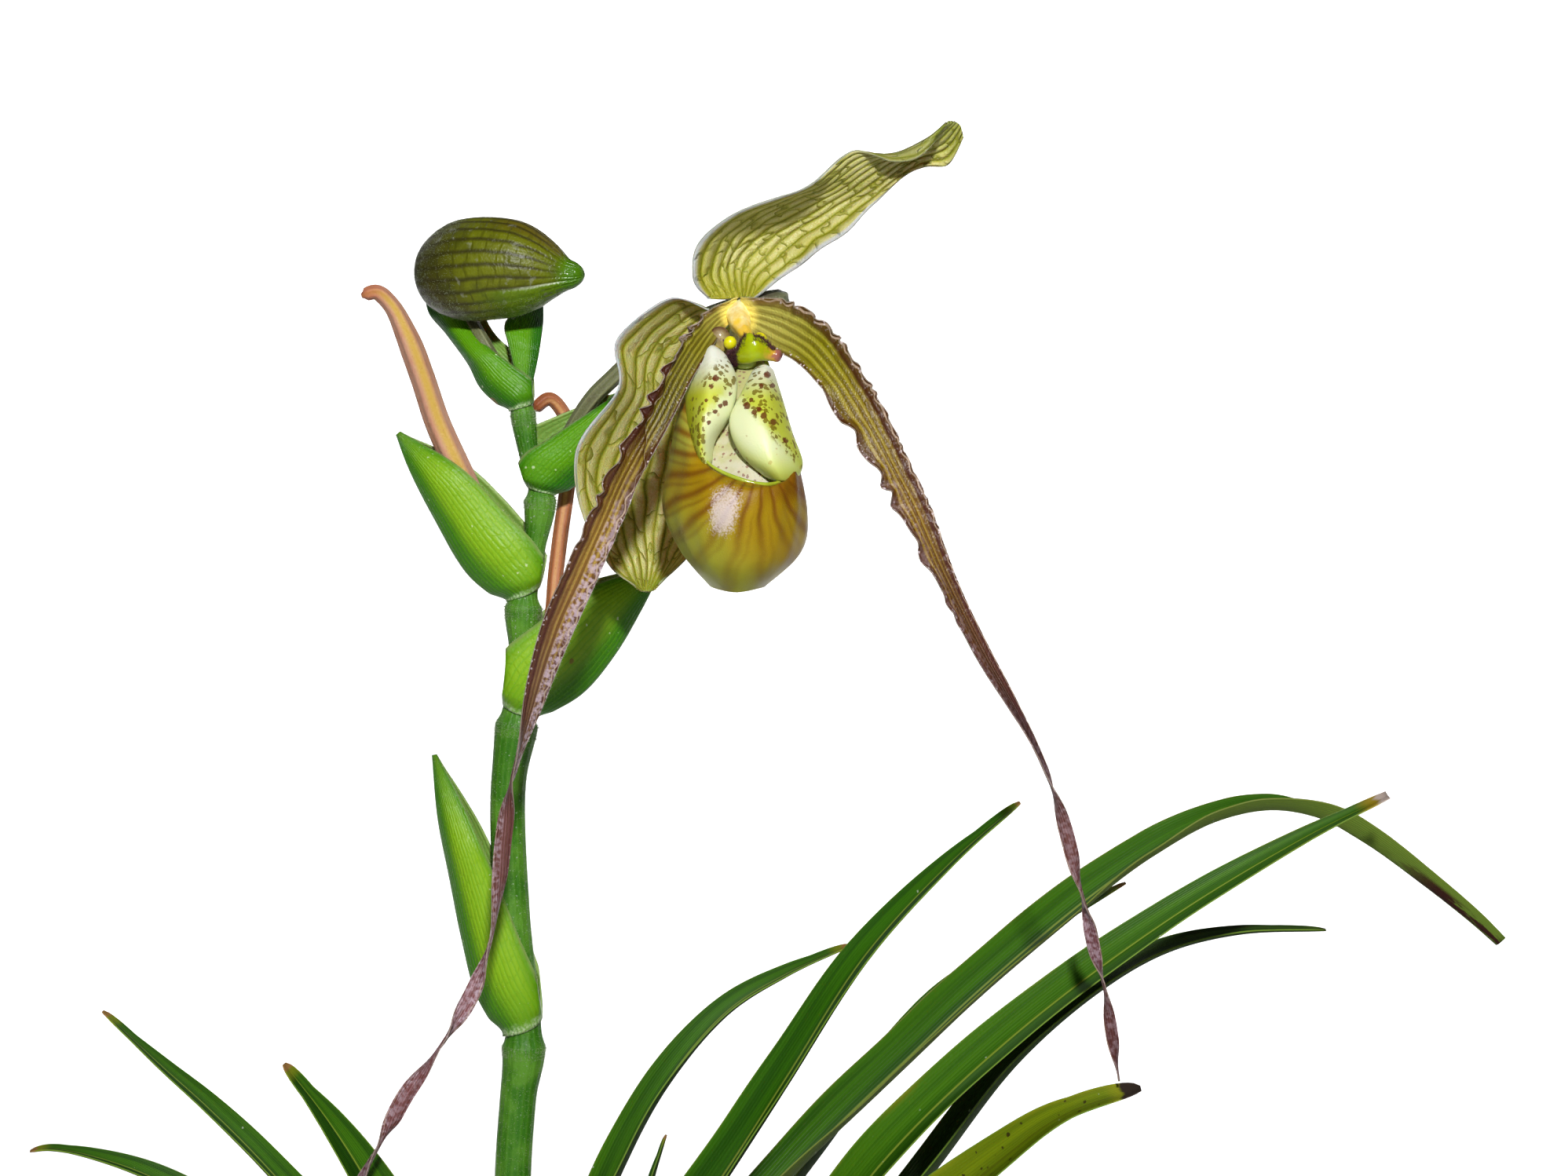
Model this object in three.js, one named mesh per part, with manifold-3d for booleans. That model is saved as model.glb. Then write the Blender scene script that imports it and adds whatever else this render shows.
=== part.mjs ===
// A long-petalled slipper orchid (Phragmipedium) growing in a plain clay pot of bark.
//
// Millimetres, +Z up. The origin is the centre of the pot's flat base. The fans of leaves and
// the flower stem stand close to the XZ plane, and the open flower faces -Y.
//
// Every thin organ is a closed shell of even thickness round a curved mid-surface: straps
// (leaves, petals) follow a keel line, folded bracts span from keel to margins, and sepals and
// the slipper are drawn by small cages of control points.

import * as THREE from 'three';
import { mergeVertices } from 'three/addons/utils/BufferGeometryUtils.js';
import Module from 'manifold-3d';

const wasm = await Module();
wasm.setup();

// ---------------------------------------------------------------- driving dimensions

const GAP = 0.35; // clearance between pieces that touch

const POT = {
  height: 115,
  baseRadius: 47,
  shoulderRadius: 61,
  rimRadius: 68,
  rimHeight: 24,
  wall: 5,
  floor: 6,
  edge: 2, // rounding of its edges
  sides: 30,
  drainHoles: 3,
  drainRadius: 4.5,
  drainCircle: 22,
};

const MIX = {
  top: 99, // height of the bark at the middle of the pot
  seat: 93, // floor of the planting holes
  crownDrop: 2, // how far the bark falls off round its crown
  crownMargin: 10, // width of that fall
  chips: 50,
  chipLength: 17,
  chipWidth: 11,
  chipThickness: 6,
  chipSizes: [0.6, 1.1], // smallest and largest chip, as a share of the sizes above
  chipTilt: 0.45, // radians either way
  chipSink: [-1.5, 0.5], // height of a chip's middle over the bark, lowest and highest
  seed: 7,
};

// One fan of leaves each: centre of the growth and the radius of its planting hole.
const FANS = {
  main: { x: -4, y: 0, hole: 21 },
  rear: { x: 15, y: 36, hole: 14.5 },
  young: { x: -27, y: -25, hole: 11.5 },
};

const HOLE = { above: 20, flare: 16 }; // a planting hole is cut this much higher and wider at its top

const SHEATH = {
  innerWidth: 6.4, // half width of the innermost folded base, in the plane of the fan
  innerDepth: 5.8, // the same, across the fan
  widthStep: 1.45, // how much each older base adds
  depthStep: 1.15,
  height: 14, // how high the oldest base clasps
  heightStep: 6, // how much higher each younger one does
  oldest: 8, // layer that clasps least
  clasp: 8, // height of the first point above its foot
  lean: 0.6, // how far it leans out by then
};

const LEAF_SECTION = {
  columns: [-1, -0.5, 0, 0.5, 1],
  sheathArc: 90, // degrees that the folded base spans to each side
  bladeArc: 34, // the same for the open blade
  opens: [0.55, 1.6], // where the base opens, as a share of the clasping length
  fold: 0.24, // rise of each half from the keel, as a share of its width
  taper: [2.6, 0.85], // exponents of the outline towards the tip
  tipHalf: 0.5,
  lastShare: 0.995,
};

const BRACT_SECTION = {
  columns: [-1, -0.62, -0.25, 0, 0.25, 0.62, 1],
  turn: 0.72, // share of a half turn that each half bulges through
  crowding: 1.25, // columns crowd towards the keel
  lastShare: 0.985,
};

const PETAL_SECTION = {
  columns: [-1, -0.5, 0, 0.5, 1],
  hollow: 0.22, // depth of the channel, as a share of the half width
  crowding: 1.25, // rows crowd towards the base
  waveSize: 0.9,
  waveLag: 1.3, // radians by which one margin's waves trail the other's
  wavesEnd: [0.3, 0.5], // shares of the length between which the waves fade out
};

const THICKNESS = { leaf: 0.75, bract: 0.7, petal: 0.65, sepal: 0.7, slipper: 0.9 };

const OVARY = { rings: 14, sides: 7 };

const BUD = { rings: 16, sides: 12, flatness: 0.86 };

const STEM = { baseRadius: 4.4, topRadius: 2.6, ringSwell: 1.3, ringLength: 3.2, rings: 60, sides: 8 };

const FLOWER_CENTRE = [45, -30, 406];

const COLOURS = {
  clay: 0xa9633f,
  bark: 0x5b3d28,
  leaf: 0x2d5b14,
  oldLeaf: 0x6d7a1c,
  stem: 0x4f8f22,
  bract: 0x5fa61c,
  bud: 0x5a6419,
  spentOvary: 0xb87a50,
  greenOvary: 0x6f7c4a,
  sepal: 0xa3a650,
  petal: 0x8c701f,
  slipper: 0xa07a22,
  column: 0xc3cf48,
};

// ---------------------------------------------------------------- small mathematics

const { clamp, degToRad, lerp, smoothstep } = THREE.MathUtils;

const vector = ([x, y, z]) => new THREE.Vector3(x, y, z);

const cross = (a, b) => new THREE.Vector3().crossVectors(a, b);

const spline = (points) => new THREE.CatmullRomCurve3(points.map(vector), false, 'centripetal');

/** Value at t of a list of [t, value] stations, eased between them. */
function atStation(stations, t) {
  const next = Math.max(1, stations.findIndex(([at]) => at >= t));
  const [t0, v0] = stations[next - 1];
  const [t1, v1] = stations[next];
  return lerp(v0, v1, smoothstep(t, t0, t1));
}

/** Seeded random numbers from 0 to 1. */
function randomNumbers(seed) {
  let state = seed;
  return () => {
    state = (state + 0x6d2b79f5) | 0;
    let mixed = Math.imul(state ^ (state >>> 15), 1 | state);
    mixed = (mixed + Math.imul(mixed ^ (mixed >>> 7), 61 | mixed)) ^ mixed;
    return ((mixed ^ (mixed >>> 14)) >>> 0) / 4294967296;
  };
}

// ---------------------------------------------------------------- closed meshes

/** Indexed geometry of a closed surface, turned so that its faces point out. */
function closedGeometry(vertices, triangles) {
  const volume = triangles.reduce(
    (sum, [a, b, c]) => sum + vertices[a].dot(cross(vertices[b], vertices[c])), 0);
  const faces = volume < 0 ? triangles.map(([a, b, c]) => [a, c, b]) : triangles;
  const geometry = new THREE.BufferGeometry();
  const coordinates = vertices.flatMap((vertex) => vertex.toArray());
  geometry.setAttribute('position', new THREE.Float32BufferAttribute(coordinates, 3));
  geometry.setIndex(faces.flat());
  geometry.computeVertexNormals();
  return geometry;
}

/** Unit normals of a grid of points; `wraps` says that its columns close into a ring. */
function gridNormals(rows, wraps) {
  const last = rows.length - 1;
  return rows.map((row, i) => row.map((_, j) => {
    const count = row.length;
    const after = wraps ? (j + 1) % count : Math.min(j + 1, count - 1);
    const before = wraps ? (j + count - 1) % count : Math.max(j - 1, 0);
    const along = rows[Math.min(i + 1, last)][j].clone().sub(rows[Math.max(i - 1, 0)][j]);
    return cross(along, row[after].clone().sub(row[before])).normalize();
  }));
}

/** The two faces of a shell round a grid, its vertices in one list, and their index. */
function shellFaces(rows, thickness, wraps) {
  const normals = gridNormals(rows, wraps);
  const offset = (side) => rows.map((row, i) => row.map((point, j) =>
    point.clone().addScaledVector(normals[i][j], side * thickness / 2)));
  const columns = rows[0].length;
  const id = (face, i, j) => (face * rows.length + i) * columns + (j % columns);
  const triangles = [];
  for (let i = 0; i < rows.length - 1; i++) {
    for (let j = 0; j < (wraps ? columns : columns - 1); j++) {
      const [a, b, c, d] = [[i, j], [i + 1, j], [i + 1, j + 1], [i, j + 1]].map(([p, q]) => id(0, p, q));
      const opposite = rows.length * columns;
      triangles.push([a, b, c], [a, c, d]);
      triangles.push([c, b, a].map((k) => k + opposite), [d, c, a].map((k) => k + opposite));
    }
  }
  return { vertices: [...offset(1).flat(), ...offset(-1).flat()], triangles, id };
}

/** Joins the rims of a shell's two faces along a chain of grid positions. */
function closeRim(shell, chain) {
  for (let k = 0; k < chain.length - 1; k++) {
    const [p, q] = [chain[k], chain[k + 1]];
    const [topP, topQ] = [shell.id(0, ...p), shell.id(0, ...q)];
    const [lowP, lowQ] = [shell.id(1, ...p), shell.id(1, ...q)];
    shell.triangles.push([topQ, topP, lowP], [topQ, lowP, lowQ]);
  }
}

/** Closed blade of even thickness round an open grid. */
function blade(rows, thickness) {
  const shell = shellFaces(rows, thickness, false);
  const [last, edge] = [rows.length - 1, rows[0].length - 1];
  const chain = [];
  for (let i = 0; i < last; i++) chain.push([i, 0]);
  for (let j = 0; j < edge; j++) chain.push([last, j]);
  for (let i = last; i > 0; i--) chain.push([i, edge]);
  for (let j = edge; j >= 0; j--) chain.push([0, j]);
  closeRim(shell, chain);
  return closedGeometry(shell.vertices, shell.triangles);
}

/** Closed cup of even thickness: its rings run from a closed foot to an open mouth. */
function cup(rings, thickness) {
  const shell = shellFaces(rings, thickness, true);
  const [count, last] = [rings[0].length, rings.length - 1];
  closeRim(shell, Array.from({ length: count + 1 }, (_, j) => [last, j]));
  for (const face of [0, 1]) {
    const foot = new THREE.Vector3();
    for (let j = 0; j < count; j++) foot.addScaledVector(shell.vertices[shell.id(face, 0, j)], 1 / count);
    const centre = shell.vertices.push(foot) - 1;
    for (let j = 0; j < count; j++) {
      const side = [shell.id(face, 0, j), shell.id(face, 0, j + 1)];
      shell.triangles.push(face === 0 ? [centre, ...side] : [centre, side[1], side[0]]);
    }
  }
  return closedGeometry(shell.vertices, shell.triangles);
}

/** Closed solid through rings of points, its ends closed round their centres. */
function loft(rings) {
  const [count, last] = [rings[0].length, rings.length - 1];
  const vertices = rings.flat();
  const triangles = [];
  const id = (i, j) => i * count + (j % count);
  for (let i = 0; i < last; i++) {
    for (let j = 0; j < count; j++) {
      triangles.push([id(i, j), id(i + 1, j), id(i + 1, j + 1)], [id(i, j), id(i + 1, j + 1), id(i, j + 1)]);
    }
  }
  for (const end of [0, last]) {
    const centre = new THREE.Vector3();
    for (const point of rings[end]) centre.addScaledVector(point, 1 / count);
    const tip = vertices.push(centre) - 1;
    for (let j = 0; j < count; j++) {
      triangles.push(end === 0 ? [tip, id(0, j), id(0, j + 1)] : [tip, id(end, j + 1), id(end, j)]);
    }
  }
  return closedGeometry(vertices, triangles);
}

/** Solid of rounded section along a spine; `radii(t)` gives [across, deep] half sizes. */
function tube(points, radii, rings, sides) {
  const curve = spline(points);
  let across = new THREE.Vector3(0, 1, 0);
  const sections = Array.from({ length: rings + 1 }, (_, i) => {
    const t = i / rings;
    const [centre, tangent] = [curve.getPointAt(t), curve.getTangentAt(t)];
    across = across.clone().addScaledVector(tangent, -across.dot(tangent)).normalize();
    const deep = cross(tangent, across);
    const [a, b] = radii(t, centre);
    return Array.from({ length: sides }, (_, j) => {
      const angle = 2 * Math.PI * j / sides;
      return centre.clone().addScaledVector(across, a * Math.cos(angle))
        .addScaledVector(deep, b * Math.sin(angle));
    });
  });
  return loft(sections);
}

// ---------------------------------------------------------------- cages

/** Catmull-Rom value between p1 and p2. */
function through(p0, p1, p2, p3, t) {
  const parts = [
    [p0, -t * t * t + 2 * t * t - t],
    [p1, 3 * t * t * t - 5 * t * t + 2],
    [p2, -3 * t * t * t + 4 * t * t + t],
    [p3, t * t * t - t * t],
  ];
  return parts.reduce((sum, [p, weight]) => sum.addScaledVector(p, weight / 2), new THREE.Vector3());
}

/** Points along a chain of vectors, `count` steps in all. */
function resample(chain, count, closed) {
  const spans = closed ? chain.length : chain.length - 1;
  const pick = (k) => (closed ? chain[(k + chain.length) % chain.length] : chain[clamp(k, 0, spans)]);
  return Array.from({ length: closed ? count : count + 1 }, (_, i) => {
    const at = i * spans / count;
    const span = Math.min(Math.floor(at), spans - 1);
    return through(pick(span - 1), pick(span), pick(span + 1), pick(span + 2), at - span);
  });
}

/** Fine grid drawn by a cage: rows of control points, each row across the organ. */
function cageGrid(cage, rows, columns, closed = false) {
  const lines = cage.map((row) => resample(row.map(vector), columns, closed));
  const across = lines[0].map((_, j) => resample(lines.map((line) => line[j]), rows, false));
  return across[0].map((_, i) => across.map((column) => column[i]));
}

// ---------------------------------------------------------------- joining and cutting

function solidOf(geometry) {
  const bare = geometry.clone();
  for (const name of ['normal', 'uv']) bare.deleteAttribute(name);
  const merged = mergeVertices(bare, 1e-4);
  const triangles = [];
  for (let k = 0; k < merged.index.count; k += 3) {
    const [a, b, c] = [0, 1, 2].map((corner) => merged.index.getX(k + corner));
    if (a !== b && b !== c && c !== a) triangles.push(a, b, c);
  }
  return new wasm.Manifold(new wasm.Mesh({
    numProp: 3,
    vertProperties: new Float32Array(merged.attributes.position.array),
    triVerts: new Uint32Array(triangles),
  }));
}

/** Geometry of the largest body of a solid; loose scraps are dropped. */
function geometryOf(solid) {
  const bodies = solid.decompose().sort((a, b) => b.volume() - a.volume());
  const { vertProperties, triVerts } = bodies[0].getMesh();
  const geometry = new THREE.BufferGeometry();
  geometry.setAttribute('position', new THREE.BufferAttribute(vertProperties, 3));
  geometry.setIndex([...triVerts]);
  geometry.computeVertexNormals();
  return geometry;
}

const fuse = (geometries) => geometries.map(solidOf).reduce((sum, solid) => sum.add(solid));

/** Ellipsoid of half sizes [x, y, z], turned by `turn` degrees about Y, at a place. */
function ellipsoid(place, half, turn = 0, detail = [10, 7]) {
  const geometry = new THREE.SphereGeometry(1, ...detail).scale(...half);
  return geometry.rotateY(degToRad(turn)).translate(...place);
}

/** Upright cylinder or cone between two heights. */
function post(x, y, low, high, lowRadius, highRadius, sides = 24) {
  const geometry = new THREE.CylinderGeometry(highRadius, lowRadius, high - low, sides);
  return geometry.rotateX(Math.PI / 2).translate(x, y, (low + high) / 2);
}

/** Turned solid about Z from a profile of [radius, height] points. */
function turned(profile, sides) {
  const points = profile.map(([radius, height]) => new THREE.Vector2(radius, height));
  return new THREE.LatheGeometry(points, sides).rotateX(Math.PI / 2);
}

// ---------------------------------------------------------------- pot and bark

const bandFoot = POT.height - POT.rimHeight;
const ledgeHeight = bandFoot - 2 * POT.edge; // where the inside steps out below the rim band
const potTaper = (POT.shoulderRadius - POT.baseRadius) / bandFoot;

/** Radius of the pot's outer wall below the rim band. */
const wallRadius = (height) => POT.baseRadius + potTaper * height;

function potGeometry() {
  const { height, baseRadius, rimRadius, wall, floor, edge } = POT;
  const body = turned([
    [0, 0],
    [baseRadius - edge, 0],
    [baseRadius, edge],
    [wallRadius(bandFoot), bandFoot],
    [rimRadius - 1.5 * edge, bandFoot + 0.5 * edge],
    [rimRadius - 0.5 * edge, bandFoot + 1.5 * edge],
    [rimRadius, height - edge],
    [rimRadius - edge, height],
    [rimRadius - 2 * edge, height],
    [rimRadius - 3 * edge, height - edge],
    [wallRadius(bandFoot) - wall, ledgeHeight],
    [wallRadius(floor) - wall, floor],
    [0, floor],
  ], POT.sides);
  let pot = solidOf(body);
  for (let k = 0; k < POT.drainHoles; k++) {
    const angle = 2 * Math.PI * (k + 0.5) / POT.drainHoles;
    const [x, y] = [POT.drainCircle * Math.cos(angle), POT.drainCircle * Math.sin(angle)];
    pot = pot.subtract(solidOf(post(x, y, -floor, 2 * floor, POT.drainRadius, POT.drainRadius, 12)));
  }
  return geometryOf(pot);
}

/** One flat, blunt chip of bark. */
function barkChip(random) {
  const chip = new THREE.IcosahedronGeometry(0.62, 0);
  const size = () => lerp(...MIX.chipSizes, random());
  chip.scale(MIX.chipLength * size(), MIX.chipWidth * size(), MIX.chipThickness * size());
  const tilt = () => lerp(-MIX.chipTilt, MIX.chipTilt, random());
  return chip.rotateX(tilt()).rotateY(tilt()).rotateZ(random() * Math.PI);
}

/** Bark mix that fills the pot, with chips lying on top and a plain hole for each fan. */
function mixGeometry() {
  const inner = (height) => wallRadius(height) - POT.wall - GAP;
  const foot = POT.floor + GAP;
  const topRadius = inner(ledgeHeight);
  const body = turned([
    [0, foot],
    [inner(foot), foot],
    [topRadius, ledgeHeight],
    [topRadius - 1, MIX.top - MIX.crownDrop],
    [topRadius - MIX.crownMargin, MIX.top],
    [0, MIX.top],
  ], POT.sides);
  const random = randomNumbers(MIX.seed);
  const goldenAngle = Math.PI * (3 - Math.sqrt(5));
  const chips = Array.from({ length: MIX.chips }, (_, k) => {
    const radius = (topRadius - MIX.chipLength * 0.75) * Math.sqrt((k + 0.5) / MIX.chips);
    const angle = k * goldenAngle;
    const height = MIX.top + lerp(...MIX.chipSink, random());
    return barkChip(random).translate(radius * Math.cos(angle), radius * Math.sin(angle), height);
  });
  let mix = fuse([body, ...chips]);
  for (const { x, y, hole } of Object.values(FANS)) {
    mix = mix.subtract(solidOf(post(x, y, MIX.seat, MIX.top + HOLE.above, hole, hole + HOLE.flare)));
  }
  return geometryOf(mix);
}

// ---------------------------------------------------------------- leaves

/**
 * Grid of one strap leaf. Its folded base clasps the younger ones in an arc, and above that it
 * opens into a shallow keeled channel and follows its keel line to a pointed tip.
 * `side` is 1 for a leaf that grows to +X and -1 for one that grows to -X; `roll` turns the
 * upper face towards -Y, in degrees, at stations along the leaf; `lost` is the share of the
 * outline that has withered off its tip.
 */
function leafGrid({ fan, layer, side, half, keel, roll, rows, lost = 0 }) {
  const width = SHEATH.innerWidth + SHEATH.widthStep * layer;
  const depth = SHEATH.innerDepth + SHEATH.depthStep * layer;
  const seat = MIX.seat + GAP;
  const foot = [fan.x + side * width, fan.y, seat];
  const clasp = [fan.x + side * (width + SHEATH.lean), fan.y, seat + SHEATH.clasp];
  const curve = spline([foot, clasp, ...keel]);
  const sheathLength = SHEATH.height + SHEATH.heightStep * (SHEATH.oldest - layer);
  const opening = sheathLength / curve.getLength();
  return Array.from({ length: rows + 1 }, (_, i) => {
    const t = Math.min(i / rows, LEAF_SECTION.lastShare);
    const [centre, tangent] = [curve.getPointAt(t), curve.getTangentAt(t)];
    const across = new THREE.Vector3(0, 1, 0);
    across.addScaledVector(tangent, -across.dot(tangent)).normalize();
    const up = cross(tangent, across).multiplyScalar(side);
    const turn = degToRad(atStation(roll, t));
    const wide = across.clone().multiplyScalar(Math.cos(turn)).addScaledVector(up, Math.sin(turn));
    const high = up.clone().multiplyScalar(Math.cos(turn)).addScaledVector(across, -Math.sin(turn));
    const open = smoothstep(t, ...LEAF_SECTION.opens.map((share) => share * opening));
    const arc = degToRad(lerp(LEAF_SECTION.sheathArc, LEAF_SECTION.bladeArc, open));
    const [fullness, bluntness] = LEAF_SECTION.taper;
    const outline = (1 - (t * (1 - lost)) ** fullness) ** bluntness;
    const span = Math.max(half * outline, LEAF_SECTION.tipHalf);
    const [reach, rise] = [lerp(depth, span / arc, open), lerp(width, span / arc, open)];
    const fold = LEAF_SECTION.fold * open * span;
    return LEAF_SECTION.columns.map((u) => centre.clone()
      .addScaledVector(wide, reach * Math.sin(u * arc))
      .addScaledVector(high, rise * (1 - Math.cos(u * arc)) + fold * Math.abs(u)));
  });
}

const LEAVES = {
  // main growth, oldest (outermost) first
  leaf_right_front: {
    fan: FANS.main, layer: 9, side: 1, half: 12.6, rows: 12, old: true,
    keel: [[42, -8, 136], [76, -23, 178], [107, -34, 210], [121, -40, 222.5], [138, -44, 230]],
    roll: [[0, 0], [0.3, 10], [0.6, 32], [1, 40]],
  },
  leaf_right_broad: {
    fan: FANS.main, layer: 6, side: 1, half: 9.3, rows: 18, lost: 0.05,
    keel: [[31, -4, 135], [55, -12, 168.5], [80, -20, 205.5], [110, -22, 235.5], [146, -22, 263],
      [178, -21, 282.5], [199, -20, 293]],
    roll: [[0, 0], [0.2, 8], [0.5, 30], [1, 40]],
  },
  leaf_left_low: {
    fan: FANS.main, layer: 5, side: -1, half: 8.5, rows: 12,
    keel: [[-42, 3, 145], [-70, 6, 174.5], [-98, 8, 193], [-116, 9, 199.5], [-126, 10, 201],
      [-132, 10, 200.5]],
    roll: [[0, 0], [0.3, 5], [1, 20]],
  },
  leaf_right_arching: {
    fan: FANS.main, layer: 4, side: 1, half: 10.5, rows: 25, lost: 0.09,
    keel: [[19, 3, 140], [38, 13, 170], [60, 21, 194], [88, 20, 222], [104, 18, 238], [131, 15, 262],
      [149, 12, 275.5], [163, 11, 283], [176, 9, 286], [188, 8, 284], [199, 7, 278.2], [213, 6, 268.2],
      [225, 5, 259.2], [234, 4.5, 251.5]],
    roll: [[0, 0], [0.2, -4], [0.45, 18], [0.64, 22], [0.71, 12], [0.77, 2], [0.8, -2], [0.87, -26],
      [1, -34]],
  },
  leaf_left_mid: {
    fan: FANS.main, layer: 3, side: -1, half: 7.5, rows: 12,
    keel: [[-31, 2, 139], [-49, 3, 171], [-70, -2, 199], [-84, -3, 214], [-95, -5, 225], [-109, -6, 239]],
    roll: [[0, 0], [0.4, 10], [1, 28]],
  },
  leaf_right_upright: {
    fan: FANS.main, layer: 2, side: 1, half: 10, rows: 16,
    keel: [[9, 0, 144], [22, 0, 169], [41.5, 0, 197], [57, -1, 221.5], [76, -4, 252], [96, -6, 274.5],
      [113, -8, 290]],
    roll: [[0, 0], [0.25, 0], [0.5, 24], [1, 34]],
  },
  leaf_left_front: {
    fan: FANS.main, layer: 1, side: -1, half: 10.5, rows: 11,
    keel: [[-20.5, -1, 140], [-30, -14, 168], [-41, -27, 200], [-50, -31, 217], [-60.5, -33, 232]],
    roll: [[0, 0], [0.3, 5], [0.6, 40], [1, 50]],
  },
  leaf_right_slender: {
    fan: FANS.main, layer: 0, side: 1, half: 10, rows: 14,
    keel: [[3.5, 2, 150], [7.5, 5, 175], [16, 8, 197], [27, 12, 217], [42, 17, 234], [57, 20, 243],
      [73, 22, 250]],
    roll: [[0, 0], [0.3, 0], [0.6, 20], [1, 24]],
  },
  // second growth behind the first
  leaf_rear_dark: {
    fan: FANS.rear, layer: 5, side: 1, half: 9.3, rows: 15,
    keel: [[52, 30, 135], [73, 18, 166], [94, 6, 198], [114, 4, 225], [134, 6, 242],
      [150, 7, 251], [168, 8, 255.3], [190, 9, 256]],
    roll: [[0, 0], [0.4, 5], [0.8, 14], [1, 10]],
  },
  leaf_rear_left: {
    fan: FANS.rear, layer: 4, side: -1, half: 9, rows: 9,
    keel: [[-6, 40, 128], [-24, 44, 152], [-48, 48, 170], [-76, 52, 176]],
    roll: [[0, 0], [1, 10]],
  },
  leaf_rear_right: {
    fan: FANS.rear, layer: 3, side: 1, half: 8, rows: 14,
    keel: [[37, 36, 146], [53.5, 34, 177], [66, 33, 195], [95, 32, 233], [115.5, 33, 247],
      [133, 33.5, 257.5], [143.5, 34, 264]],
    roll: [[0, 0], [0.4, 5], [1, 18]],
  },
  leaf_rear_short: {
    fan: FANS.rear, layer: 2, side: -1, half: 8, rows: 8,
    keel: [[0, 38, 136], [-8, 42, 158], [-20, 46, 178]],
    roll: [[0, 0], [1, 0]],
  },
  leaf_rear_tip: {
    fan: FANS.rear, layer: 0, side: 1, half: 6.5, rows: 9,
    keel: [[22, 38, 142], [20.5, 40, 163], [21.5, 41, 182], [25.5, 42, 197]],
    roll: [[0, 0], [1, 10]],
  },
  // young shoot in front
  leaf_young_left: {
    fan: FANS.young, layer: 2, side: -1, half: 8, rows: 8,
    keel: [[-44, -28, 116], [-60, -33, 138], [-80, -38, 152]],
    roll: [[0, 0], [1, 15]],
  },
  leaf_young_right: {
    fan: FANS.young, layer: 1, side: 1, half: 8, rows: 8,
    keel: [[-13, -30, 118], [2, -37, 144], [22, -44, 162]],
    roll: [[0, 0], [1, 15]],
  },
  leaf_young_centre: {
    fan: FANS.young, layer: 0, side: -1, half: 7, rows: 8,
    keel: [[-34, -28, 126], [-37, -30, 150], [-43, -33, 172]],
    roll: [[0, 0], [1, 5]],
  },
};

// ---------------------------------------------------------------- flower stem

const STEM_SPINE = [
  [-5, 0, MIX.seat + GAP], [-8, 0, 135], [-10.5, 0, 190], [-9, 0, 216], [-7.5, 0, 229], [-10.2, 0, 262],
  [-11, 0, 292], [-8.8, 0, 308], [-7, 0, 322], [-7, 0, 337], [-4.5, 0, 350], [-3, 0, 363],
  [-5.5, 0, 373], [-7, 0, 383.4],
];

// Height of the swollen ring at each node of the stem.
const RING_HEIGHTS = [228, 307, 335, 361, 382];

function stemGeometry() {
  const radius = (t, centre) => {
    const plain = lerp(STEM.baseRadius, STEM.topRadius, t * t);
    const swell = RING_HEIGHTS.reduce(
      (sum, height) => sum + Math.exp(-(((centre.z - height) / STEM.ringLength) ** 2)), 0);
    const size = plain + STEM.ringSwell * swell * (plain / STEM.baseRadius);
    return [size, size];
  };
  return tube(STEM_SPINE, radius, STEM.rings, STEM.sides);
}

// ---------------------------------------------------------------- bracts

/**
 * Grid of a boat-shaped bract. `keel` and `margin` are its side outlines in the XZ plane, at a
 * distance `y` behind it, and `depth` is how far each half bulges to either side.
 */
function bractGrid({ keel, margin, depth, y = [[0, 0], [1, 0]], rows = 8 }) {
  const place = ([x, z]) => [x, 0, z];
  const [back, front] = [spline(keel.map(place)), spline(margin.map(place))];
  return Array.from({ length: rows + 1 }, (_, i) => {
    const t = Math.min(i / rows, BRACT_SECTION.lastShare);
    const [inner, outer] = [back.getPointAt(t), front.getPointAt(t)];
    const bulge = atStation(depth, t);
    return BRACT_SECTION.columns.map((u) => {
      const share = Math.abs(u);
      const point = inner.clone().lerp(outer, share ** BRACT_SECTION.crowding);
      const sideways = Math.sign(u) * bulge * Math.sin(share * BRACT_SECTION.turn * Math.PI);
      return point.setY(atStation(y, t) + sideways);
    });
  });
}

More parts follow.
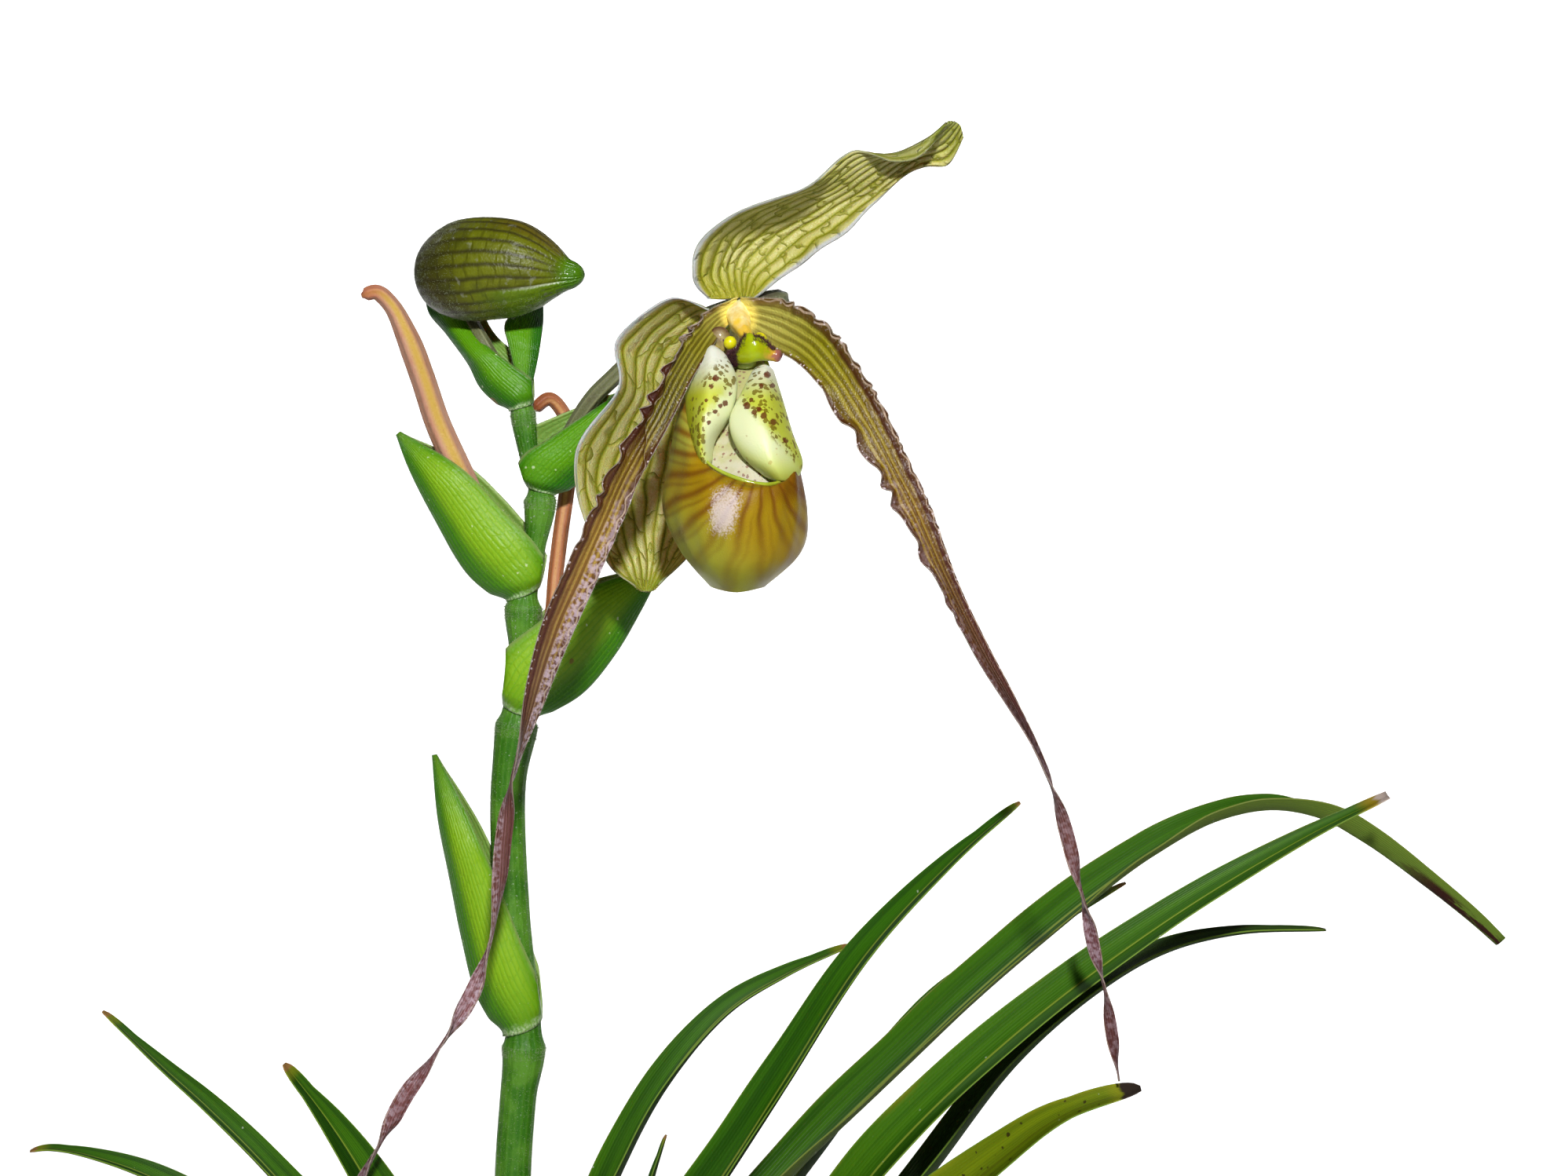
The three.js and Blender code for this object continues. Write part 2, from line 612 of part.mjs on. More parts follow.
const BRACTS = {
  bract_1: {
    keel: [[-13.2, 231.4], [-19, 242], [-22.3, 255], [-25.2, 270], [-28, 285], [-29.3, 301]],
    margin: [[-2.3, 236], [-3, 244], [-8.3, 257], [-13, 269], [-19.5, 284], [-28.6, 301]],
    depth: [[0, 5.6], [0.25, 5.8], [0.6, 5], [1, 0.7]],
  },
  bract_2: {
    keel: [[-3.4, 309.4], [7, 315.5], [15, 325], [21.2, 335.5], [26.5, 346]],
    margin: [[-12.5, 313.5], [-12.8, 324], [-3, 333], [8, 341], [26, 346.5]],
    depth: [[0, 5.9], [0.25, 6.2], [0.6, 5.6], [1, 0.7]],
  },
  bract_3: {
    keel: [[-12.4, 337.6], [-20.5, 344.5], [-28.5, 358], [-34.5, 370], [-37.6, 378.5]],
    margin: [[-1.8, 341.6], [-2.4, 349.5], [-11, 359.5], [-21.5, 370], [-37, 379]],
    depth: [[0, 5.2], [0.25, 6], [0.6, 5.2], [1, 0.7]],
  },
  bract_4: {
    keel: [[2.2, 363.4], [8.2, 368.5], [13, 376], [16.5, 383], [18.5, 389]],
    margin: [[-7.6, 366.4], [-8, 373], [-1, 379.5], [9, 386], [18, 389.5]],
    depth: [[0, 4.9], [0.25, 5.6], [0.7, 5.4], [1, 0.7]],
  },
  bract_5: {
    keel: [[-10.9, 383.6], [-17.2, 389.4], [-20.4, 395.4], [-26, 402.5], [-31, 408]],
    margin: [[-3.3, 386], [-3, 392], [-9, 396], [-15, 399.8], [-22, 403.6], [-30, 408.5]],
    depth: [[0, 4], [0.25, 4.7], [0.7, 4.6], [1, 0.7]],
  },
  bract_terminal: {
    keel: [[-5.4, 388], [-4.2, 394], [-3.2, 400], [-2.8, 406], [-3.2, 412]],
    margin: [[-8.3, 389], [-9.2, 394.5], [-10.6, 400], [-11.5, 405], [-5, 412]],
    depth: [[0, 1.3], [0.3, 2], [0.7, 2], [1, 0.6]],
    y: [[0, 0], [0.45, 0.3], [1, 10]],
  },
};

// ---------------------------------------------------------------- ovaries and bud

const OVARIES = {
  ovary_spent_left: {
    spine: [[-13.5, 0, 349], [-18, 0, 360], [-23.2, 0, 371], [-27.6, 0, 381], [-31, -1, 392],
      [-34.6, -2, 402], [-38.2, -3, 409.5], [-41.6, -4, 412.8], [-45, -5, 412]],
    radius: [[0, 1.8], [0.3, 2.8], [0.7, 2.6], [0.93, 1.6], [1, 1.2]],
    colour: COLOURS.spentOvary,
  },
  ovary_spent_right: {
    spine: [[-1.5, 1, 328], [0, 1.5, 336], [1, 4, 344], [2, 8, 354], [3.5, 10, 366], [4.5, 11, 376],
      [3.5, 11, 384], [0.5, 10, 388], [-3, 9, 386.5]],
    radius: [[0, 1.4], [0.3, 1.8], [0.75, 1.8], [0.93, 1.4], [1, 1.1]],
    colour: COLOURS.spentOvary,
  },
  ovary_flower: {
    spine: [[1, 0, 373], [5, 0, 380], [10, 0, 387], [14.5, 0.5, 391.5], [21, 2, 397.5], [31, 6, 404],
      [44, 6, 409.5], [52.5, -2, 411], [53, -13, 410], [50, -20, 408.5], [47.6, -22.8, 407.7]],
    radius: [[0, 1.4], [0.2, 2], [0.7, 2.2], [1, 2.9]],
    colour: COLOURS.greenOvary,
  },
  ovary_bud: {
    spine: [[-9.5, 0, 390.5], [-14, 0.5, 396.5], [-17.5, 1.8, 402], [-21.6, 7.4, 407.4], [-27.5, 11, 411.5],
      [-30.4, 12.2, 415.5], [-31.2, 10.8, 418.4]],
    radius: [[0, 1.1], [0.3, 1.5], [0.8, 1.8], [1, 2]],
    colour: COLOURS.greenOvary,
  },
};

function ovaryGeometry({ spine, radius }) {
  return tube(spine, (t) => Array(2).fill(atStation(radius, t)), OVARY.rings, OVARY.sides);
}

/** Closed bud: a plump body with a seam ridge, drawn out into a short beak at +X. */
function budGeometry() {
  const spine = [[-29.8, 8, 418.2], [-25.8, 3.5, 417.8], [-18, -1, 417.9], [-9, -4, 417.6], [-1, -6, 417],
    [4.5, -7.5, 416.2], [8.6, -8.5, 416]];
  const half = [[0, 3.6], [0.1, 9], [0.3, 12.4], [0.5, 12.6], [0.72, 9.9], [0.86, 5.4], [0.95, 3], [1, 1]];
  const radii = (t) => {
    const size = atStation(half, t);
    return [size * BUD.flatness, size];
  };
  return tube(spine, radii, BUD.rings, BUD.sides);
}

// ---------------------------------------------------------------- petals

/**
 * Grid of a ribbon petal along its midrib. `half` gives the half width and `roll` the turn of
 * its face out of the plane that faces -Y, both at stations; its upper stretch has waved edges.
 */
function petalGrid({ midrib, half, roll, waves, rows }) {
  const { columns, hollow, crowding, waveSize, waveLag, wavesEnd } = PETAL_SECTION;
  const curve = spline(midrib);
  return Array.from({ length: rows + 1 }, (_, i) => {
    const t = (i / rows) ** crowding;
    const [centre, tangent] = [curve.getPointAt(t), curve.getTangentAt(t)];
    const face = new THREE.Vector3(0, -1, 0);
    face.addScaledVector(tangent, -face.dot(tangent)).normalize();
    const side = cross(tangent, face);
    const turn = degToRad(atStation(roll, t));
    const wide = side.clone().multiplyScalar(Math.cos(turn)).addScaledVector(face, Math.sin(turn));
    const high = face.clone().multiplyScalar(Math.cos(turn)).addScaledVector(side, -Math.sin(turn));
    const span = atStation(half, t);
    const fade = smoothstep(t, 0, 0.06) * (1 - smoothstep(t, ...wavesEnd));
    return columns.map((u) => {
      const wave = waveSize * fade * u * u * Math.cos(2 * Math.PI * waves * t + waveLag * u);
      return centre.clone().addScaledVector(wide, u * span)
        .addScaledVector(high, wave + hollow * span * (u * u - 0.5));
    });
  });
}

const PETALS = {
  petal_left: {
    midrib: [[42, -33, 405.5], [38, -43, 401], [33, -51, 393], [27.5, -57, 382], [21.5, -58.5, 371],
      [16, -57, 358.5], [10.5, -54, 346.5], [5, -50, 334.5], [1, -46, 323.5], [-3, -42, 310.5],
      [-6.5, -39, 298], [-8.5, -37, 286], [-9.8, -35, 275], [-11.6, -34, 263], [-15, -34, 251.5],
      [-20, -35, 242], [-26, -37, 233], [-31.5, -38, 225.5], [-36, -38, 217], [-40.5, -37, 208.5],
      [-44, -36, 200], [-46, -35, 190], [-45, -34, 178]],
    half: [[0, 1.6], [0.06, 3], [0.18, 3.7], [0.34, 3.8], [0.46, 2.4], [0.56, 1.9], [0.98, 1.9], [1, 0.7]],
    roll: [[0, 15], [0.2, 25], [0.4, 5], [0.5, 85], [0.56, 180], [0.66, 275], [0.71, 360], [0.75, 445],
      [0.82, 540], [0.86, 630], [0.94, 720], [1, 810]],
    waves: 24, rows: 46,
  },
  petal_right: {
    midrib: [[48.5, -33, 405.5], [56, -38, 402.6], [63, -44, 398], [69, -50, 390], [74.5, -54, 380.5],
      [80, -56, 370], [85, -57, 360], [89.5, -57, 350], [94.6, -56, 340], [100.5, -55, 329],
      [106.6, -54, 318.5], [112.4, -53, 308], [117, -52, 297], [120, -51, 287], [122.3, -50, 278],
      [124.6, -49, 269.5], [126.5, -48, 261], [129, -47, 252], [130.5, -46, 243], [131.8, -45.5, 235],
      [132.5, -45, 230.6]],
    half: [[0, 1.8], [0.07, 5.4], [0.16, 4.8], [0.3, 3.5], [0.45, 2.3], [0.6, 1.7], [0.72, 1.9], [0.95, 1.8],
      [1, 0.6]],
    roll: [[0, -20], [0.1, -8], [0.3, 10], [0.5, 25], [0.64, 70], [0.73, 180], [0.79, 270], [0.84, 360],
      [0.89, 450], [0.95, 540], [1, 630]],
    waves: 22, rows: 44,
  },
};

// ---------------------------------------------------------------- sepals

// Cages in flower coordinates: each row crosses the sepal, from its base to its tip.
const DORSAL_CAGE = [
  [[-2.6, 2.6, 3.2], [-1, 3.2, 3.6], [0.6, 3.5, 3.8], [2.2, 3.2, 3.8], [3.8, 2.6, 3.2]],
  [[-9.2, 0, 7.5], [-5, 6, 10], [-0.5, 9.5, 10.5], [4, 9.5, 9.5], [8.5, 7.5, 7]],
  [[-8.6, -2, 15], [-2.5, 6, 17], [3, 11, 16.5], [8.5, 12, 14], [14, 8, 11]],
  [[-2.4, -4, 22], [4, 4, 22.5], [8.5, 10, 21], [13.5, 12, 18.5], [19.5, 6, 15]],
  [[9, -4, 26.4], [12, 3, 26.5], [16.5, 8, 25], [21, 10, 23], [26, 4, 19.5]],
  [[18.5, -4, 30.6], [20.5, 2, 30], [24, 6, 28.8], [27.6, 8, 27], [32, 4, 25.5]],
  [[27, -7, 37], [29.4, -2, 35.5], [32, 3, 34], [35.2, 5, 32], [38.2, 2, 31]],
  [[36, -9, 33.6], [37, -5.5, 36.2], [38.8, -1, 36.8], [41.2, 3, 36], [43.4, 2, 33.6]],
  [[42.5, -8, 35.6], [43.4, -7.5, 38.8], [45.4, -4, 40], [47.6, 0.5, 38.2], [48.8, 2, 34.2]],
  [[46.4, -6, 41], [47.8, -6, 42.8], [49.6, -3.5, 43.6], [51.4, -1, 43], [52.2, 0, 40.2]],
];

const SYNSEPAL_CAGE = [
  [[-4, 3, 0], [-3.2, 4.2, -1], [-2, 4.8, -1.7], [-0.4, 4.8, -2.1], [1.2, 4.4, -2.3]],
  [[-16, 0, 2.6], [-11, 7.5, 0], [-7, 10.5, -3.5], [-2.5, 10.5, -5.5], [3.5, 8.5, -6]],
  [[-27.2, 0, -5.5], [-20.5, 9, -9], [-13, 14, -12.5], [-3.5, 14, -14.5], [7, 11, -14.5]],
  [[-27.6, -1, -17.5], [-22.5, 9, -20], [-15, 16, -23.5], [-5.5, 16, -25.5], [6.5, 12, -25.5]],
  [[-37, -4, -32], [-29, 8, -35], [-17.5, 16, -36.5], [-6.5, 16, -37.5], [4, 12, -37.5]],
  [[-35, -4, -47], [-27.5, 6, -48], [-19.5, 14, -48.5], [-11, 14, -49.5], [-2, 10, -49]],
  [[-29.5, 0, -58], [-24.5, 5, -58.5], [-20, 9, -59], [-15.5, 9, -58.2], [-11, 6, -56]],
  [[-23.5, 2, -63.4], [-22.2, 3, -64.2], [-20.8, 4, -64.4], [-19.4, 4, -64], [-18, 3, -62.8]],
];

// ---------------------------------------------------------------- slipper-shaped lip

// Each ring runs from the front round the +X side, the back and the -X side; the first rings
// are the foot of the pouch and the last is the margin of its mouth.
const POUCH_CAGE = [
  [[0.5, -24, -62.8], [4.5, -22, -62.2], [6.5, -16, -61.8], [4, -9, -61.4], [-0.5, -7, -61.4],
    [-4, -9, -61.4], [-5.5, -16, -61.8], [-3, -22, -62.4]],
  [[1, -32, -56.5], [9.5, -28, -55.5], [14, -17, -54], [8.5, -5, -53.5], [-0.5, -2, -54],
    [-8.5, -5, -53.5], [-12, -17, -54], [-7.5, -28, -55.5]],
  [[1.5, -36.5, -46], [12, -31, -45], [17, -17, -44.5], [10, -2, -44], [-0.5, 2, -45],
    [-10.5, -2, -44.5], [-16, -16, -44.5], [-10, -31, -46]],
  [[3, -36.5, -40.5], [12.5, -30, -39], [15.4, -17, -34.5], [8.5, -3, -34.5], [-0.5, 0.5, -34.5],
    [-10, -3, -34.5], [-14.5, -15, -34], [-8.5, -30, -38]],
  [[3.5, -33.5, -39.5], [12.2, -27.5, -37.5], [11.7, -16, -24], [6.5, -5, -22], [-0.5, -1.5, -20],
    [-8, -5, -21], [-12, -14.5, -22], [-8, -27, -36]],
  [[3.5, -31.5, -39.2], [11, -25.5, -37.5], [8.4, -11.5, -13.5], [5, -5.5, -9.5], [-0.5, -3, -8.5],
    [-5.5, -5.5, -9], [-8.2, -11.5, -13], [-7, -25, -35.5]],
];

// Infolded side lobes: plump flaps that close the sides of the mouth, top to bottom.
const LOBE_RIGHT = [
  [[8.2, -8, -12.2], [6.8, -11.2, -11.4], [4.4, -10, -12], [5, -6.5, -12.4]],
  [[10.6, -15, -20], [7.5, -23, -19.5], [2.5, -21, -19], [3.5, -13, -19.5]],
  [[12, -19, -28], [7.5, -29.5, -27], [-0.5, -25.5, -26.5], [1, -16, -27]],
  [[13.4, -22, -34.5], [9, -32, -35], [2, -28, -34.5], [3.5, -19, -34]],
  [[13, -23.5, -38], [11, -29, -39], [8, -27, -39], [8.5, -21.5, -38]],
];

const LOBE_LEFT = [
  [[-8.4, -9, -10.5], [-6, -13.5, -8.8], [-3, -12.5, -9.6], [-4, -7.5, -10.4]],
  [[-10.6, -14, -17.5], [-6, -23, -16], [-0.6, -20, -17], [-2, -12, -17.2]],
  [[-11, -17, -24.5], [-6.8, -27.5, -23.5], [-1.4, -23.5, -23.8], [-3, -14.5, -24]],
  [[-10.2, -20, -31], [-7.4, -28.5, -30.5], [-4, -24.5, -30], [-5.5, -17, -30]],
  [[-8.8, -23, -36], [-7.4, -27, -36.2], [-5.6, -25, -35.6], [-6, -20, -35.4]],
];

function lipGeometry() {
  const pouch = cup(cageGrid(POUCH_CAGE, 11, 16, true), THICKNESS.slipper);
  const lobes = [LOBE_RIGHT, LOBE_LEFT].map((cage) => loft(cageGrid(cage, 8, 8, true)));
  const claw = tube([[-0.3, 1.4, -4], [-0.4, -1, -6.5], [-0.5, -3, -9.5]], () => [1.5, 1.1], 3, 6);
  return geometryOf(fuse([pouch, ...lobes, claw]));
}

// ---------------------------------------------------------------- column

/** Stalk, two anthers, stigma and the shield-shaped staminode, grown as one piece. */
function columnGeometry() {
  const stalk = tube([[1.5, 5.6, 1.1], [0.8, 1, 0.4], [0.8, -5, -1.8], [1.8, -9, -4.8], [3, -12.4, -6.4]],
    (t) => [lerp(2.4, 2.6, t), lerp(2.3, 2.4, t)], 7, 8);
  const shield = ellipsoid([4.8, -13, -7], [4.9, 1.6, 3.8], 12, [12, 8]);
  const hook = ellipsoid([9.3, -12.4, -9.2], [1.5, 1.3, 1.5], 0, [7, 5]);
  const leftAnther = ellipsoid([-1.4, -9.6, -6.6], [1.9, 1.7, 2], 0, [8, 6]);
  const rightAnther = ellipsoid([5.4, -9.2, -6.2], [1.8, 1.6, 1.9], 0, [8, 6]);
  const stigma = ellipsoid([2.4, -9, -8.2], [2.6, 2.2, 1.5], 0, [8, 6]);
  return geometryOf(fuse([stalk, shield, hook, leftAnther, rightAnther, stigma]));
}

// ---------------------------------------------------------------- assembly

function piece(name, geometry, color, roughness = 0.5) {
  const mesh = new THREE.Mesh(geometry, new THREE.MeshStandardMaterial({ color, roughness, metalness: 0 }));
  mesh.name = name;
  return mesh;
}

const orchid = new THREE.Group();
orchid.add(piece('pot', potGeometry(), COLOURS.clay, 0.85));
orchid.add(piece('potting_mix', mixGeometry(), COLOURS.bark, 0.9));
for (const [name, leaf] of Object.entries(LEAVES)) {
  const colour = leaf.old ? COLOURS.oldLeaf : COLOURS.leaf;
  orchid.add(piece(name, blade(leafGrid(leaf), THICKNESS.leaf), colour, 0.4));
}
orchid.add(piece('flower_stem', stemGeometry(), COLOURS.stem));
for (const [name, bract] of Object.entries(BRACTS)) {
  orchid.add(piece(name, blade(bractGrid(bract), THICKNESS.bract), COLOURS.bract));
}
for (const [name, ovary] of Object.entries(OVARIES)) {
  orchid.add(piece(name, ovaryGeometry(ovary), ovary.colour, 0.6));
}
orchid.add(piece('bud', budGeometry(), COLOURS.bud, 0.45));
for (const [name, petal] of Object.entries(PETALS)) {
  orchid.add(piece(name, blade(petalGrid(petal), THICKNESS.petal), COLOURS.petal, 0.45));
}

const flower = new THREE.Group();
flower.position.set(...FLOWER_CENTRE);
flower.add(piece('dorsal_sepal', blade(cageGrid(DORSAL_CAGE, 20, 6), THICKNESS.sepal), COLOURS.sepal));
flower.add(piece('synsepal', blade(cageGrid(SYNSEPAL_CAGE, 14, 6), THICKNESS.sepal), COLOURS.sepal));
flower.add(piece('lip', lipGeometry(), COLOURS.slipper, 0.35));
flower.add(piece('column', columnGeometry(), COLOURS.column, 0.4));
orchid.add(flower);

export default orchid;
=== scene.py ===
"""Looks of a potted long-petalled slipper orchid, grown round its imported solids.

Lengths are written in millimetres and turned to metres where a mesh is made. The fans of leaves
stand close to the XZ plane and the open flower faces -Y. Every piece follows the same keel
lines, cages and sections as the solid that it stands for, drawn finer and dressed.
"""

import logging
import math
from collections.abc import Sequence
from dataclasses import dataclass, field
from enum import Enum
from typing import ClassVar

import bpy
import numpy as np
from mathutils import Matrix, Vector


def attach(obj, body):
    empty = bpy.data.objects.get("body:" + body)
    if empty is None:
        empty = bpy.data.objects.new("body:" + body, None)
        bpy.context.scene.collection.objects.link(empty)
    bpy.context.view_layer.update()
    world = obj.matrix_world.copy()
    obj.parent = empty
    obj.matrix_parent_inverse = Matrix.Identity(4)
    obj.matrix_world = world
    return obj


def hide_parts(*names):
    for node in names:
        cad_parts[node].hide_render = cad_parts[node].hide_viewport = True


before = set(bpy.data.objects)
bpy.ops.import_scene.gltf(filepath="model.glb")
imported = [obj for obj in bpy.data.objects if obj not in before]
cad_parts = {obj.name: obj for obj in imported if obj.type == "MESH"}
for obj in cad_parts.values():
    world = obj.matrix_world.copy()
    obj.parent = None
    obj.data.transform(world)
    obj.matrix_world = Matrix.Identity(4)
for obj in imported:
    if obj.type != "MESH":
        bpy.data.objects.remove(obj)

LOG = logging.getLogger("orchid")
MM = 0.001
BODY = "root"
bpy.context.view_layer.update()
SHAPE_MAP = "shape"  # across and along the organ, as shares
MARK_MAP = "mark"  # 1 on the outer or upper face and 0 on the other, and a number of its own

Array = np.ndarray
Socket = bpy.types.NodeSocket
Colour = tuple[float, float, float]
Point = tuple[float, float, float]
Stations = Sequence[tuple[float, float]]
Number = "Signal | float"  # what a number socket takes
Paint = "Signal | Colour"  # what a colour socket takes


# ---------------------------------------------------------------- small mathematics

def srgb(red: float, green: float, blue: float) -> Colour:
    """Linear colour of a screen colour given from 0 to 255."""
    shares = (np.array([red, green, blue]) / 255 + 0.055) / 1.055
    return tuple(float(share) for share in np.maximum(shares, 0.0521) ** 2.4)


def unit(vectors: Array) -> Array:
    """The same vectors at length one."""
    return vectors / np.maximum(np.linalg.norm(vectors, axis=-1, keepdims=True), 1e-12)


def smooth(value: Array, low: float, high: float) -> Array:
    """Eased share of the way from low to high, from 0 to 1."""
    share = np.clip((value - low) / (high - low), 0, 1)
    return share * share * (3 - 2 * share)


def eased(stations: Stations, share: Array) -> Array:
    """Values at shares of a length, eased between stations.

    Args:
        stations: pairs of share and value, in order.
        share: where the values are wanted.

    Returns:
        One value for each share.
    """
    places, values = np.array(stations, float).T
    after = np.clip(np.searchsorted(places, share), 1, len(places) - 1)
    before = after - 1
    step = np.clip((share - places[before]) / (places[after] - places[before]), 0, 1)
    return values[before] + (values[after] - values[before]) * step * step * (3 - 2 * step)


def flowing(stations: Stations, share: Array) -> Array:
    """Values at shares of a length, on one smooth line through the stations.

    Args:
        stations: pairs of share and value, in order.
        share: where the values are wanted.

    Returns:
        One value for each share.
    """
    stretch = 40.0
    line = Spine([(place * stretch, value, 0) for place, value in stations]).line
    return np.interp(share, line[:, 0] / stretch, line[:, 1])


class Spine:
    """Smooth curve through points, read by shares of its length."""

    def __init__(self, points: Sequence[Sequence[float]], fineness: int = 64) -> None:
        """Draws the curve.

        Args:
            points: what it passes through, in order.
            fineness: steps between one point and the next.
        """
        knots = np.array(points, float)
        padded = np.vstack([2 * knots[0] - knots[1], knots, 2 * knots[-1] - knots[-2]])
        weights = np.linspace(0, 1, fineness, endpoint=False)[:, None]
        spans = [self._span(padded[k:k + 4], weights) for k in range(len(knots) - 1)]
        self.line = np.vstack([*spans, knots[-1:]])
        steps = np.linalg.norm(np.diff(self.line, axis=0), axis=1)
        self.reach = np.concatenate([[0], np.cumsum(steps)])
        self.length = float(self.reach[-1])

    @staticmethod
    def _span(four: Array, weight: Array) -> Array:
        """Centripetal stretch between the second and third of four points.

        Args:
            four: points, in order.
            weight: shares of the way, one in each row.

        Returns:
            One point for each share.
        """
        gaps = np.maximum(np.linalg.norm(np.diff(four, axis=0), axis=1), 1e-4) ** 0.5
        slopes = np.diff(four, axis=0) / gaps[:, None]
        wide = (four[2:] - four[:2]) / (gaps[1:] + gaps[:-1])[:, None]
        leave = (slopes[0] - wide[0] + slopes[1]) * gaps[1]
        enter = (slopes[1] - wide[1] + slopes[2]) * gaps[1]
        step = four[2] - four[1]
        square = (3 * step - 2 * leave - enter) * weight**2
        return four[1] + leave * weight + square + (leave + enter - 2 * step) * weight**3

    def at(self, shares: Array) -> Array:
        """Points at shares of the length."""
        wanted = np.asarray(shares) * self.length
        return np.stack([np.interp(wanted, self.reach, axis) for axis in self.line.T], axis=-1)

    def heading(self, shares: Array) -> Array:
        """Directions of travel at shares of the length.

        Args:
            shares: of the length.

        Returns:
            One direction for each share.
        """
        step = 0.004
        ahead = self.at(np.minimum(np.asarray(shares) + step, 1))
        return unit(ahead - self.at(np.maximum(np.asarray(shares) - step, 0)))


def resample(chain: Array, count: int, closed: bool = False) -> Array:
    """Smooth row of points through a chain, along its first axis.

    Args:
        chain: control points, or rows of them.
        count: steps in all.
        closed: whether the chain runs round into itself.

    Returns:
        count points if closed, and otherwise one more.
    """
    spans = len(chain) if closed else len(chain) - 1
    at = np.arange(count if closed else count + 1) * spans / count
    span = np.minimum(at.astype(int), spans - 1)
    t = (at - span).reshape(-1, *[1] * (chain.ndim - 1))
    picks = [span + offset for offset in (-1, 0, 1, 2)]
    picks = [pick % len(chain) if closed else np.clip(pick, 0, spans) for pick in picks]
    weights = (-t**3 + 2 * t**2 - t, 3 * t**3 - 5 * t**2 + 2, -3 * t**3 + 4 * t**2 + t, t**3 - t**2)
    return sum(chain[pick] * weight / 2 for pick, weight in zip(picks, weights))


def cage_grid(cage: Sequence, rows: int, columns: int, closed: bool = False) -> Array:
    """Fine grid of points drawn by a cage of control points, row by row."""
    lines = resample(np.swapaxes(np.array(cage, float), 0, 1), columns, closed)
    return resample(np.swapaxes(lines, 0, 1), rows)


def grid_normals(grid: Array, wraps: bool) -> Array:
    """Unit normals of a grid of points.

    Args:
        grid: points by row and column.
        wraps: whether its columns close into a ring.

    Returns:
        One normal for each point.
    """
    along = np.gradient(grid, axis=0)
    if wraps:
        across = np.roll(grid, -1, axis=1) - np.roll(grid, 1, axis=1)
    else:
        across = np.gradient(grid, axis=1)
    return unit(np.cross(along, across))


def faces_front(grid: Array) -> float:
    """1 where the normals of an open grid point to -Y on the whole, and 0 where they point away."""
    return float(grid_normals(grid, False)[..., 1].sum() < 0)


def margin_crowded(columns: int) -> Array:
    """Places from -1 to 1 that crowd towards both ends."""
    return np.sin(np.linspace(-1, 1, columns) * math.pi / 2)


def rolled(side: Array, up: Array, roll: Stations, shares: Array) -> tuple[Array, Array]:
    """Two directions across a spine, turned about it, for each row of a grid.

    Args:
        side: first directions.
        up: second directions, square to them.
        roll: stations of the turn, in degrees.
        shares: along the spine, one for each row.

    Returns:
        The turned first and second directions.
    """
    turn = np.radians(eased(roll, shares))[:, None]
    wide, high = side * np.cos(turn) + up * np.sin(turn), up * np.cos(turn) - side * np.sin(turn)
    return wide[:, None], high[:, None]


def outward(rings: Array) -> Array:
    """Directions from the middle of each ring to its points."""
    return unit(rings - rings.mean(axis=1, keepdims=True))


# ---------------------------------------------------------------- meshes

